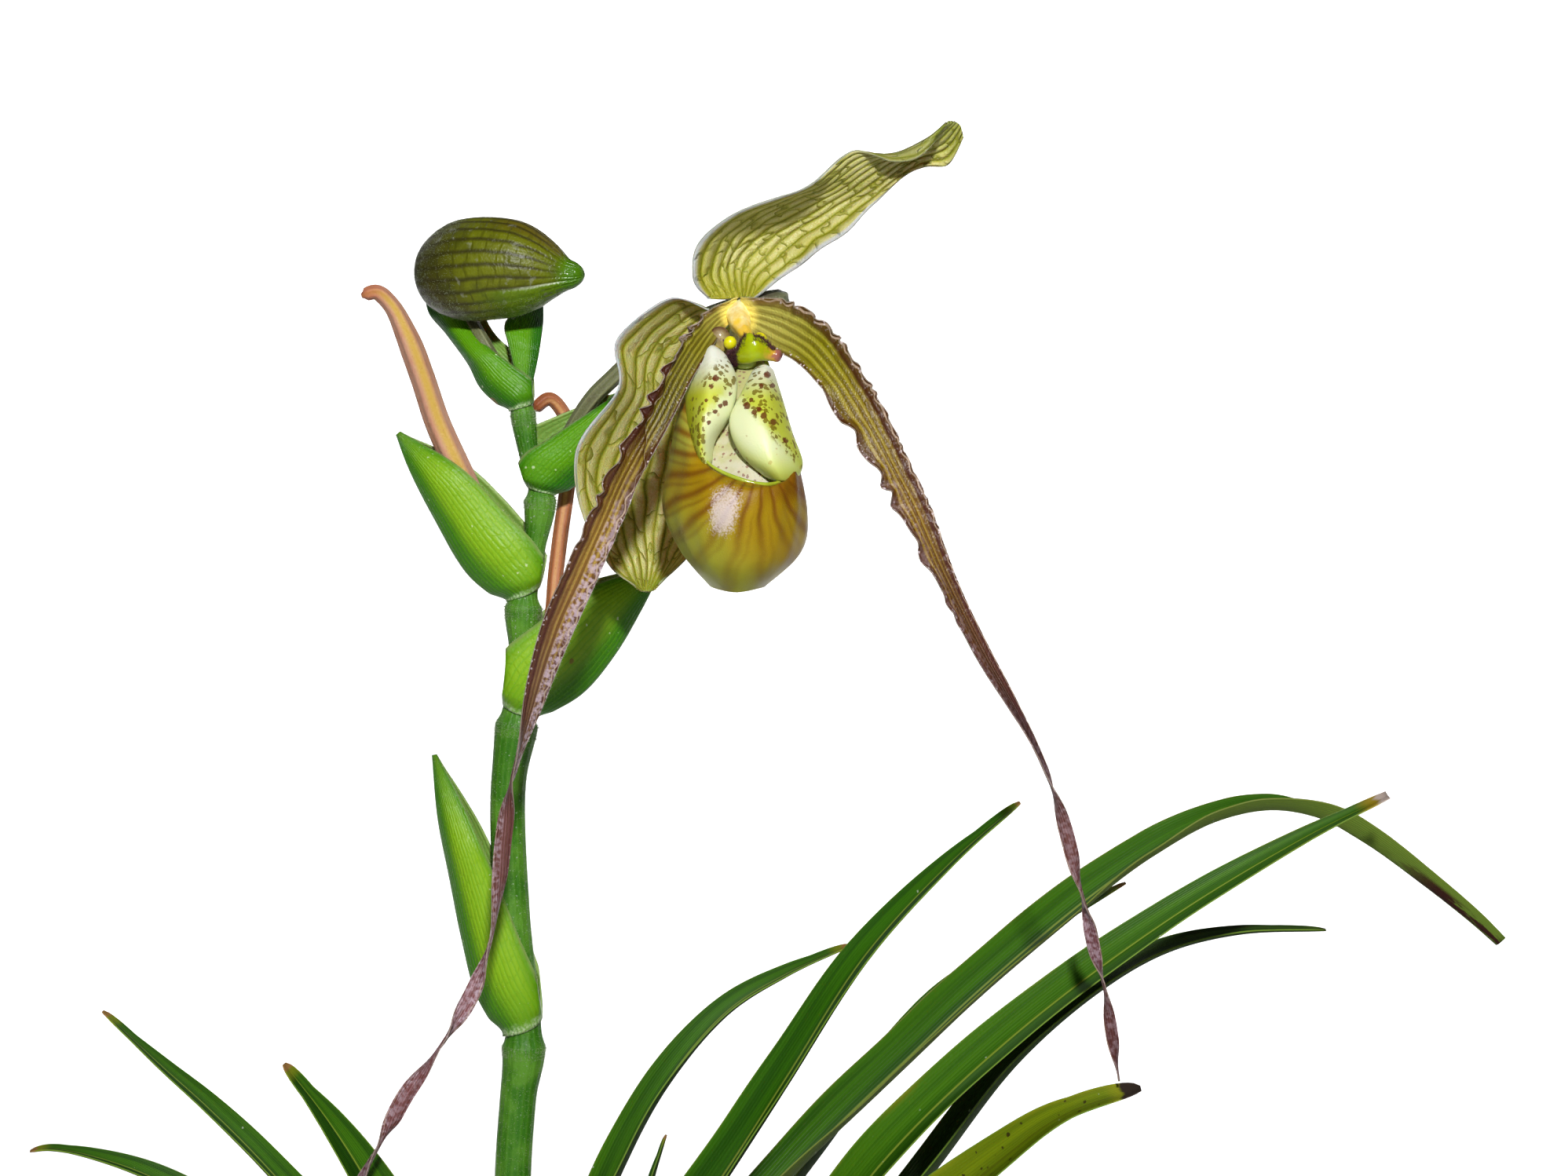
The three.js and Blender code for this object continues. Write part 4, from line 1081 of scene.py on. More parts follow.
@dataclass(frozen=True)
class BudFinish(Finish):
    """Olive bud with dark converging stripes and cross veins, and painted shade towards its base."""

    name: str = "bud_skin"
    olive: Colour = srgb(100, 106, 4)
    dark: Colour = srgb(30, 34, 8)
    stripe: Colour = srgb(46, 42, 8)
    brown: Colour = srgb(96, 72, 14)
    beak: Colour = srgb(70, 116, 8)
    pale_overlay: Colour = srgb(152, 154, 140)

    def paint(self, w: Wiring) -> Surface:
        """Wires the bud.

        Args:
            w: wiring of the material.

        Returns:
            What the shader gets.
        """
        across, along, _, _, place = w.site()
        long, cross, pillow = w.veins(across, along, 24, 14, 0.3, 0.4, 0.2)
        # Painted shade: the ramp darkens from olive to near black towards the bud's base end.
        base = along.ramp((0, self.dark), (0.22, srgb(66, 66, 14)), (0.45, self.olive), (0.75, self.olive),
                          (0.9, srgb(96, 112, 16)))
        upper = across.apart(0.3).rise(0.02, 0.1, 1, 0) * along.rise(0.4, 0.65)
        flap = across.rise(0.58, 0.595) * across.rise(0.8, 0.86, 1, 0) * along.rise(0.35, 0.7)
        seam = across.apart(0.585).rise(0.002, 0.007, 1, 0) * along.rise(0.6, 0.82)
        patch = place.noise(0.35, 4).rise(0.62, 0.7) * along.rise(0.85, 0.95, 0.3, 0)
        colour = w.layers(
            base,
            (place.noise(0.16, 4).rise(0.45, 0.75, 0, 0.5), self.dark),
            (upper * 0.6, self.brown),
            (long * along.rise(0.75, 0.92, 0.85, 0.1), self.stripe),
            (cross * along.rise(0.7, 0.85, 0.3, 0), self.stripe),
            (flap * 0.75, srgb(88, 120, 8)),
            (seam * 0.5, srgb(184, 196, 160)),
            (along.rise(0.84, 0.93), self.beak),
            (patch, self.pale_overlay),
            (place.specks(1.6, 0.35, 0.55) * along.rise(0, 0.25, 0.6, 0.08), self.pale_overlay),
        )
        height = pillow * 0.8 + place.skin(1.7, 0.8) * 0.5
        return Surface(colour, along.rise(0.8, 0.9, 0.42, 0.2), height, bump=0.2)


@dataclass(frozen=True)
class PetalFinish(Finish):
    """Striped ribbon with a dark margin, green near the flower and maroon towards its tip, with painted sheen
    and glints.
    """

    name: str
    tones: tuple
    dark_side: int  # side of the broad dark margin, -1 or 1
    # share of the painted sheen on the plain side
    painted_sheen: float
    folded: float = 0  # 1 where the dark margin folds over the face and crosses it

    STAR: ClassVar[tuple] = (45.6, -31.5, 405.4)  # centre of the glow at the petals' roots
    CROSSING: ClassVar[tuple] = ((0.1, 0.145, 0.26), (0.165, 0.205, 0.6))  # stretch and share of each shift
    WANDER: ClassVar[tuple] = (0.022, 300)  # share and pace of the folded edge's waves

    def line(self, along: Signal) -> Signal:
        """Share across, from the midrib, of the pale edge of the dark margin.

        Args:
            along: share along the petal.

        Returns:
            The share across.
        """
        first, second = (along.rise(low, high, 0, -self.folded * share) for low, high, share in self.CROSSING)
        wave = (along * self.WANDER[1]).only("SINE")
        return first + second + 0.45 + wave * (self.WANDER[0] * (1 + self.folded))

    def line_at(self, along: Array) -> Array:
        """The same share, for the mesh."""
        shift = sum(-self.folded * share * smooth(along, low, high) for low, high, share in self.CROSSING)
        return 0.45 + shift + self.WANDER[0] * (1 + self.folded) * np.sin(along * self.WANDER[1])

    def paint(self, w: Wiring) -> Surface:
        """Wires the petal.

        Args:
            w: wiring of the material.

        Returns:
            What the shader gets.
        """
        across, along, upper, _, place = w.site()
        run = along * 3
        veins = w.veins(across, run, 6, 20, 0.5, 0.5, 0.6)[0]
        fine = w.veins(across, run, 17, 20, 0.4, 0.4, 1)[0]
        pale = w.veins(across + 1 / 12, run, 6, 20, 0.3, 0.5, 0.6)[0]
        offset = across.apart(0.5)
        ground = along.ramp(*self.tones)
        stripe = w.blend(1, ground, (0.34, 0.28, 0.12), "MULTIPLY")
        cloud = w.vector(across * 3, along * 40).noise(1, 3) - 0.5
        outer = (across - 0.5) * self.dark_side
        wide = (offset + along.rise(0.16, 0.22, -0.06, 0.01)).most(outer + along.rise(0.03, 0.2, 0.02, 0.12))
        border = (wide + cloud * 0.2).rise(0.28, 0.44) * along.rise(0.35, 0.7, 0.85, 0.3)
        maroon = along.ramp((0, srgb(110, 72, 24)), (0.08, srgb(62, 18, 8)), (1, srgb(84, 38, 42)))
        # Painted sheen: silvery lilac patches on the plain side and towards the tip; the glints below are
        # painted highlights near the margins.
        side = outer.rise(-0.14, -0.02, 1, 0) * along.rise(0.2, 0.3) * self.painted_sheen
        painted_sheen = place.noise(0.9, 4).rise(0.4, 0.62) * side.most(along.rise(0.55, 0.7, 0, 0.4))
        line = self.line(along)
        flap = (outer - line).rise(-0.01, 0.01) * along.rise(0.17, 0.21, 1, 0)
        glint = place.specks(1.3, 0.5, 0.5) * offset.rise(0.36, 0.46)
        face = w.layers(
            ground,
            (veins * 0.8, stripe),
            (fine * 0.35, stripe),
            (pale * along.rise(0.35, 0.5, 0.3, 0), srgb(184, 172, 74)),
            (border, maroon),
            (painted_sheen, srgb(206, 184, 196)),
            (flap * (0.8 * self.folded), maroon),
            (outer.apart(line).rise(0.012, 0.03, 0.75, 0), srgb(196, 172, 150)),
            (offset.rise(0.486, 0.494, 0, 0.6), srgb(200, 186, 172)),
            (glint * 0.7, srgb(226, 210, 214)),
        )
        star = place.near(self.STAR, 2, 7.5) + cloud * 0.3
        colour = w.layers(w.blend(upper, w.blend(0.4, face, srgb(96, 44, 26)), face),
                          (star.rise(0.1, 0.9), srgb(240, 222, 110)))
        height = veins * 0.7 + place.skin(2.4, 0.5) * 0.8
        return Surface(colour, 0.36, height, bump=0.2, glow=0.04, shine=0.4)


# Painted shade: on the left petal the dark olive tone about 0.15 along stands for the face turned away from
# the light.
LEFT_PETAL = PetalFinish("petal_left_skin", (
    (0, srgb(236, 220, 110)), (0.03, srgb(190, 184, 80)), (0.08, srgb(130, 124, 20)),
    (0.15, srgb(98, 88, 4)), (0.22, srgb(140, 106, 22)), (0.28, srgb(172, 132, 54)),
    (0.34, srgb(160, 116, 62)), (0.42, srgb(134, 96, 70)), (0.55, srgb(140, 100, 104)),
    (0.75, srgb(162, 112, 122)), (1, srgb(100, 62, 72))), 1, 0.7, 1)
RIGHT_PETAL = PetalFinish("petal_right_skin", (
    (0, srgb(236, 220, 110)), (0.03, srgb(196, 192, 96)), (0.12, srgb(146, 142, 14)),
    (0.22, srgb(140, 116, 6)), (0.34, srgb(138, 98, 20)), (0.45, srgb(108, 70, 40)),
    (0.6, srgb(88, 56, 54)), (0.72, srgb(136, 96, 102)),
    (0.85, srgb(124, 76, 86)), (1, srgb(84, 52, 60))), -1, 0.12)


@dataclass(frozen=True)
class SepalFinish(Finish):
    """Silvery sepal netted with yellow-green veins, with a painted highlight along its margins."""

    name: str = "sepal_skin"
    count: float = 10
    rows: float = 8
    silver: Colour = srgb(208, 204, 148)
    vein: Colour = srgb(136, 140, 6)
    flush: Colour = srgb(178, 174, 44)
    tip: Colour = srgb(132, 140, 26)
    glow: float = 0.1

    def paint(self, w: Wiring) -> Surface:
        """Wires the sepal.

        Args:
            w: wiring of the material.

        Returns:
            What the shader gets.
        """
        across, along, upper, _, place = w.site()
        (long, cross, pillow), (halo, halo_cross, _), (core, core_cross, _) = (
            w.veins(across, along, self.count, self.rows, width, 0.9, 0.15) for width in (0.26, 0.5, 0.1))
        # Painted highlight: a pale grey band along both margins, where they fold back.
        edge = across.apart(0.5).rise(along.rise(0.3, 0.6, 0.43, 0.465), 0.475)
        ground = w.layers(
            self.silver,
            (place.noise(2.2, 3).rise(0.35, 0.65, 0, 0.45), srgb(180, 174, 88)),
            (place.noise(0.12, 3).rise(0.4, 0.7, 0, 0.35), self.flush),
            (halo.most(halo_cross * 0.6) * 0.7, self.flush),
            (along.rise(0, 0.22, 0.85, 0), srgb(164, 160, 24)),
            (long.most(cross * 0.8) * along.rise(0, 0.1, 0.5, 0.9), self.vein),
            (core.most(core_cross) * along.rise(0, 0.1, 0.3, 0.6), srgb(92, 92, 0)),
            (along.rise(0.84, 0.97, 0, 0.7), self.tip),
            (edge * along.rise(0.5, 0.7, 0.85, 0.3), srgb(186, 190, 196)),
        )
        colour = w.layers(w.blend(upper, w.blend(0.45, ground, srgb(120, 128, 60)), ground),
                          (place.specks(3.2, 0.3, 0.7) * 0.4, srgb(240, 240, 224)))
        height = pillow * 1.2 + place.skin(2.6) * 0.6
        return Surface(colour, 0.38, height, bump=0.3, glow=self.glow, shine=0.35)


@dataclass(frozen=True)
class PouchFinish(Finish):
    """Amber pouch with dark forked veins outside and a pale spotted inside, with painted shade under its
    right lobe and a painted highlight on its hairs.
    """

    name: str = "pouch_skin"
    amber: Colour = srgb(162, 132, 6)
    brown: Colour = srgb(134, 92, 0)
    green: Colour = srgb(166, 168, 50)
    vein: Colour = srgb(108, 62, 0)
    rim: Colour = srgb(176, 190, 70)
    # pale lilac colour of the painted highlight on the pouch's hairs
    pale_overlay: Colour = srgb(224, 210, 208)

    def paint(self, w: Wiring) -> Surface:
        """Wires the pouch.

        Args:
            w: wiring of the material.

        Returns:
            What the shader gets.
        """
        _, along, outer, _, place = w.site()
        x, _, z = place.parts()
        right, down = x - 51, 374 - z
        turn = w.math("ARCTAN2", right, down) * (1 / (2 * math.pi)) + 0.5
        away = (right * right + down * down).only("SQRT")
        run = away * 0.012
        bold = w.veins(turn, run, 24, 1, 0.26, 0.7, 1)[0]
        fork = w.veins(turn + run * 0.1, run, 24, 1, 0.16, 0.7, 1)[0]
        halo = w.veins(turn, run, 24, 1, 0.5, 0.7, 1)[0]
        cloud = place.noise(0.1, 4)
        flat = w.vector(x, 0, z)
        # Darker brown on the upper pouch: partly its own colour near the rim and, stronger on the right,
        # painted shade under the right lobe.
        dark_top_and_lobe_shade = (z + cloud * 8).rise(364, 371) * x.rise(40, 56, 0.3, 1) * x.rise(50, 60, 0.55, 0.9)
        fading = z.rise(350, 364, 0.35, 1)
        # Painted highlight: a whitish lilac patch of light on the hairs of the pouch's front, below the rim.
        patch = flat.near((43.4, 0, 363.4), 1, 6) + flat.near((42.4, 0, 358.5), 0.5, 5.4)
        painted_hair_highlight = (patch + (place.noise(2.2, 5) - 0.5) * 1.8).rise(0.35, 1.2)
        outside = w.layers(
            self.amber,
            ((x * 0.9 + z + cloud * 6).rise(384, 406, 1, 0), self.green),
            (flat.near((29.5, 0, 378), 4, 10) * 0.9, srgb(164, 172, 66)),
            (dark_top_and_lobe_shade, self.vein),
            (halo * away.rise(3, 9, 0.2, 0.5) * fading, self.brown),
            (bold * away.rise(3, 10, 0.3, 0.75) * fading, self.vein),
            (fork * away.rise(11, 18, 0, 0.5) * fading, self.vein),
            (painted_hair_highlight * 0.7, self.pale_overlay),
            (along.rise(0.955, 0.985), self.rim),
        )
        inside = w.blend(place.specks(0.5, 0.42, 0.5) * 0.5, srgb(190, 186, 150), srgb(140, 98, 92))
        height = bold * -0.5 + place.skin(3) * 0.5
        return Surface(w.blend(outer, inside, outside), cloud.rise(0.3, 0.7, 0.36, 0.5), height,
                       bump=0.16, glow=0.05, shine=0.22)


@dataclass(frozen=True)
class LobeFinish(Finish):
    """Ivory to yellow-green side lobe with maroon-brown spots."""

    name: str
    foot: tuple[float, float]  # a point on the line that bounds the spots, along X and Z
    lean: tuple[float, float]  # the direction across that line into the spots
    reach: float
    top: float  # where the white tip ends
    edge: float  # X up to which the spots reach whatever the line
    marks: Sequence[tuple[float, float, float]]  # place along X and Z and radius of each large mark

    def paint(self, w: Wiring) -> Surface:
        """Wires the lobe.

        Args:
            w: wiring of the material.

        Returns:
            What the shader gets.
        """
        *_, place = w.site()
        x, _, z = place.parts()
        past = (x - self.foot[0]) * self.lean[0] + (z - self.foot[1]) * self.lean[1]
        past = past.most((self.edge - x) * 1.6)
        shaky = past + (place.noise(0.5) - 0.5) * 2.2
        below = z.rise(self.top - 5, self.top - 2, 1, 0)
        spotted = past.rise(0, 0.8) * past.rise(self.reach, self.reach + 1, 1, 0.1) * below
        jitter = (place.noise(1.5) - 0.5) * 0.9
        flat = w.vector(x + jitter, 0, z + jitter)
        middle_x, _, middle_z = FLOWER_CENTRE
        marks = [(flat.near((middle_x + across, 0, middle_z + up), 0.8 * radius, 1.15 * radius) * 0.9,
                  srgb(96, 34, 14)) for across, up, radius in self.marks]
        colour = w.layers(
            srgb(220, 226, 178),
            (shaky.rise(-0.5, 2.5), srgb(190, 198, 66)),
            (past.rise(0.5 * self.reach, self.reach), srgb(180, 186, 14)),
            (past.rise(-9, -4, 0.75, 0), srgb(190, 204, 60)),
            (z.rise(self.top - 13, self.top - 3), srgb(228, 230, 214)),
            (z.rise(368, 377, 0.85, 0), srgb(184, 196, 50)),
            (place.specks(0.8, 0.66, 0) * spotted * 0.85, srgb(110, 92, 6)),
            (place.specks(0.6, 0.3, 0.75) * 0.4 * below, srgb(170, 128, 40)),
            *marks,
        )
        return Surface(colour, 0.38, place.skin(2), bump=0.05, glow=0.1, shine=0.25)


@dataclass(frozen=True)
class ColumnFinish(Finish):
    """Glossy flesh between two colours, mottled."""

    name: str
    first: Colour
    second: Colour
    mottle: Colour
    amount: float = 0
    gloss: float = 0.24

    def paint(self, w: Wiring) -> Surface:
        """Wires the flesh.

        Args:
            w: wiring of the material.

        Returns:
            What the shader gets.
        """
        _, along, _, _, place = w.site()
        cloud = place.noise(0.4, 3).rise(0.3, 0.7, -0.15, 0.15)
        colour = w.layers(self.first, ((along + cloud).rise(0.15, 0.85), self.second),
                          (place.specks(1.1, 0.5, 0.25) * self.amount, self.mottle))
        return Surface(colour, self.gloss, place.skin(2.4), bump=0.06, glow=0.1, shine=0.5, coat=0.2)


@dataclass(frozen=True)
class ShieldFinish(Finish):
    """Glossy lime shield that ends in a dark horn on the left and a rosy brown one on the right."""

    name: str = "shield_skin"

    def paint(self, w: Wiring) -> Surface:
        """Wires the shield.

        Args:
            w: wiring of the material.

        Returns:
            What the shader gets.
        """
        around, along, _, _, place = w.site()
        cloud = place.noise(0.5, 3).rise(0.3, 0.7, -0.05, 0.05)
        colour = (along + cloud).ramp(
            (0, srgb(44, 20, 30)), (0.16, srgb(60, 34, 30)), (0.26, srgb(140, 150, 4)),
            (0.5, srgb(158, 174, 8)), (0.62, srgb(152, 160, 10)), (0.71, srgb(196, 150, 50)),
            (0.79, srgb(160, 98, 84)), (1, srgb(112, 62, 64)))
        top = around.apart(0.23).rise(0.06, 0.12, 1, 0) * along.apart(0.47).rise(0.04, 0.12)
        colour = w.blend(top * 0.9, colour, srgb(52, 24, 18))
        return Surface(colour, 0.14, place.skin(2.4), bump=0.04, glow=0.12, coat=0.4)


@dataclass(frozen=True)
class HairFinish(Finish):
    """Hair that pales towards its tip."""

    name: str = "pale_down"
    root: Colour = srgb(150, 172, 112)
    tip: Colour = srgb(214, 222, 200)

    def paint(self, w: Wiring) -> Surface:
        """Wires the hair."""
        _, along, _, _, place = w.site()
        return Surface(w.blend(along, self.root, self.tip), 0.4, place.noise(3), bump=0.01)


@dataclass(frozen=True)
class ClayFinish(Finish):
    """Fired clay with throwing lines, lime bloom and damp stains."""

    name: str = "fired_clay"

    def paint(self, w: Wiring) -> Surface:
        """Wires the clay.

        Args:
            w: wiring of the material.

        Returns:
            What the shader gets.
        """
        *_, place = w.site()
        height = place.parts()[2]
        grain = place.noise(1.4, 5)
        pale_overlay = (place.noise(0.06, 5) + height.rise(0, 40, 0.12, 0)).rise(0.56, 0.7, 0, 0.55)
        colour = w.layers(
            srgb(160, 92, 58),
            (place.noise(0.035, 4).rise(0.35, 0.65), srgb(188, 116, 78)),
            (pale_overlay, srgb(206, 190, 170)),
            (grain.rise(0.55, 0.75, 0, 0.35), srgb(120, 66, 42)),
        )
        rings = w.vector(0, 0, height * 0.9).noise(1)
        relief = rings * 1.4 + grain * 0.8 + place.specks(0.6, 0.3, 0.75) * -0.5
        return Surface(colour, pale_overlay.rise(0, 0.5, 0.78, 0.95), relief, bump=0.35)


@dataclass(frozen=True)
class BarkFinish(Finish):
    """Layered bark, each chip a shade of its own."""

    name: str = "bark_chips"

    def paint(self, w: Wiring) -> Surface:
        """Wires the bark.

        Args:
            w: wiring of the material.

        Returns:
            What the shader gets.
        """
        _, _, _, own, place = w.site()
        layers = w.vector(own * 90, 0, place.noise(0.25, 3)).noise(7, 3)
        grain = place.noise(0.9, 5)
        colour = w.layers(
            own.ramp((0, srgb(44, 28, 18)), (0.4, srgb(84, 54, 34)), (0.75, srgb(118, 78, 50)),
                     (1, srgb(146, 108, 76))),
            (layers.rise(0.4, 0.65, 0, 0.55), srgb(40, 24, 16)),
            (grain.rise(0.5, 0.72, 0, 0.4), srgb(150, 118, 88)),
        )
        return Surface(colour, 0.85, layers + grain * 0.9, bump=0.5)


@dataclass(frozen=True)
class PaperFinish(Finish):
    """Matte studio paper with a faint tooth."""

    name: str = "studio_paper"
    colour: Colour = (0.6, 0.6, 0.6)

    def paint(self, w: Wiring) -> Surface:
        """Wires the paper.

        Args:
            w: wiring of the material.

        Returns:
            What the shader gets.
        """
        *_, place = w.site()
        tooth = place.noise(0.4, 4)
        return Surface(w.blend(tooth.rise(0.3, 0.7, 0, 0.05), self.colour, (0.5, 0.5, 0.5)), 0.9, tooth)


DOWN_FINISH = HairFinish()
FRINGE_FINISH = HairFinish("dark_fringe", srgb(52, 18, 24), srgb(92, 52, 56))


# ---------------------------------------------------------------- leaves

MAIN_FAN, REAR_FAN, YOUNG_FAN = (-4, 0), (15, 36), (-27, -25)  # centres of the growths of leaves

GREEN_LEAF = LeafFinish()
ARCHING_LEAF = LeafFinish("arching_leaf_skin", under=srgb(98, 122, 40), spot=srgb(52, 22, 12), spots=1.0,
                          spots_from=0.88, tip=1.1, edge=srgb(110, 124, 50))
BROAD_LEAF = LeafFinish("broad_leaf_skin", dark=srgb(34, 78, 2), light=srgb(62, 108, 4), yellowing=0.1,
                        tip=0.986, withered=srgb(176, 160, 150), yellow=srgb(172, 132, 18))
OLD_LEAF = LeafFinish("old_leaf_skin", dark=srgb(80, 98, 4), light=srgb(108, 126, 8), dots=0.9,
                      spots_from=0.3, spot=srgb(44, 32, 6), tip=0.972, withered=srgb(48, 38, 30),
                      yellowing=0.2, keel=srgb(78, 86, 4))
TAN_TIPPED_LEAF = LeafFinish("tan_tipped_leaf_skin", light=srgb(50, 100, 4), tip=0.991,
                             yellow=srgb(110, 128, 22))
SHADED_LEAF = LeafFinish("shaded_leaf_skin", dark=srgb(18, 42, 6), light=srgb(46, 72, 18), tip=0.994,
                         yellow=srgb(70, 92, 26), withered=srgb(74, 70, 40))


@dataclass
class StrapLeaf:
    """One leaf: a folded base that clasps the younger ones, then a keeled channel to its tip."""

    node: str
    fan: tuple[float, float]
    layer: int
    side: int
    half: float
    keel: Sequence[tuple[float, float, float]]
    roll: Stations
    finish: LeafFinish = GREEN_LEAF
    lost: float = 0.0
    blunt: float = 0.2
    rows: int = 150
    columns: int = 21

    SEAT: ClassVar[float] = 93.35
    INNER: ClassVar[tuple[float, float]] = (6.4, 5.8)
    STEP: ClassVar[tuple[float, float]] = (1.45, 1.15)
    SHEATH: ClassVar[tuple[float, float, int]] = (14, 6, 8)
    ARCS: ClassVar[tuple[float, float]] = (90, 34)
    FOLD: ClassVar[float] = 0.24

    def grid(self) -> tuple[Array, Array, Array]:
        """The leaf's middle surface, with the shares across and along it.

        Returns:
            Its points by row and column, and the shares across and along.
        """
        width, depth = (low + step * self.layer for low, step in zip(self.INNER, self.STEP))
        x, y = self.fan
        foot = (x + self.side * width, y, self.SEAT)
        clasp = (x + self.side * (width + 0.6), y, self.SEAT + 8)
        spine = Spine([foot, clasp, *self.keel])
        t = np.linspace(0, 0.9985, self.rows)
        u = margin_crowded(self.columns)
        centre, heading = spine.at(t), spine.heading(t)
        sideways = unit(np.array([0, 1, 0]) - heading * heading[:, 1:2])
        wide, high = rolled(sideways, np.cross(heading, sideways) * self.side, self.roll, t)
        height, step, oldest = self.SHEATH
        opening = (height + step * (oldest - self.layer)) / spine.length
        opened = smooth(t, opening * 0.55, opening * 1.6)[:, None]
        arc = np.radians(self.ARCS[0] + (self.ARCS[1] - self.ARCS[0]) * opened)
        grown = t * (1 - self.lost)
        outline = np.maximum((1 - grown**2.6) ** 0.85, self.blunt * np.sqrt(1 - grown**40))
        span = np.maximum(self.half * outline, 0.2)[:, None]
        reach = depth + (span / arc - depth) * opened
        lift = width + (span / arc - width) * opened
        crease = np.sqrt(u * u + 0.0016) - 0.04
        ripple = 0.012 * span * np.sin(t[:, None] * spine.length / 5.5 + 2 * u) * u * u * opened
        rise = lift * (1 - np.cos(u * arc)) + self.FOLD * opened * span * crease + ripple
        grid = centre[:, None] + wide * (reach * np.sin(u * arc))[..., None] + high * rise[..., None]
        return grid, (u + 1) / 2, t

    def build(self) -> None:
        """Makes the leaf."""
        grid, across, along = self.grid()
        edge = np.abs(2 * across - 1)
        thickness = 0.32 + 0.5 * (1 - edge[None] ** 2) * (1 - 0.5 * along[:, None])
        form = Form(self.node + "_blade")
        form.add_blade(grid, thickness, across, along, (1 + self.side) / 2, hash_share(self.node))
        form.make([self.finish], [self.node])


def hash_share(name: str) -> float:
    """A number from 0 to 1 that belongs to a name."""
    return sum(ord(letter) * (k + 3) for k, letter in enumerate(name)) % 97 / 97


def margins(grid: Array) -> tuple[Array, Array]:
    """Points along both margins of a blade, and the directions out of it there."""
    away = [grid[:, 0] - grid[:, 2], grid[:, -1] - grid[:, -3]]
    return np.concatenate([grid[:, 0], grid[:, -1]]), unit(np.concatenate(away))


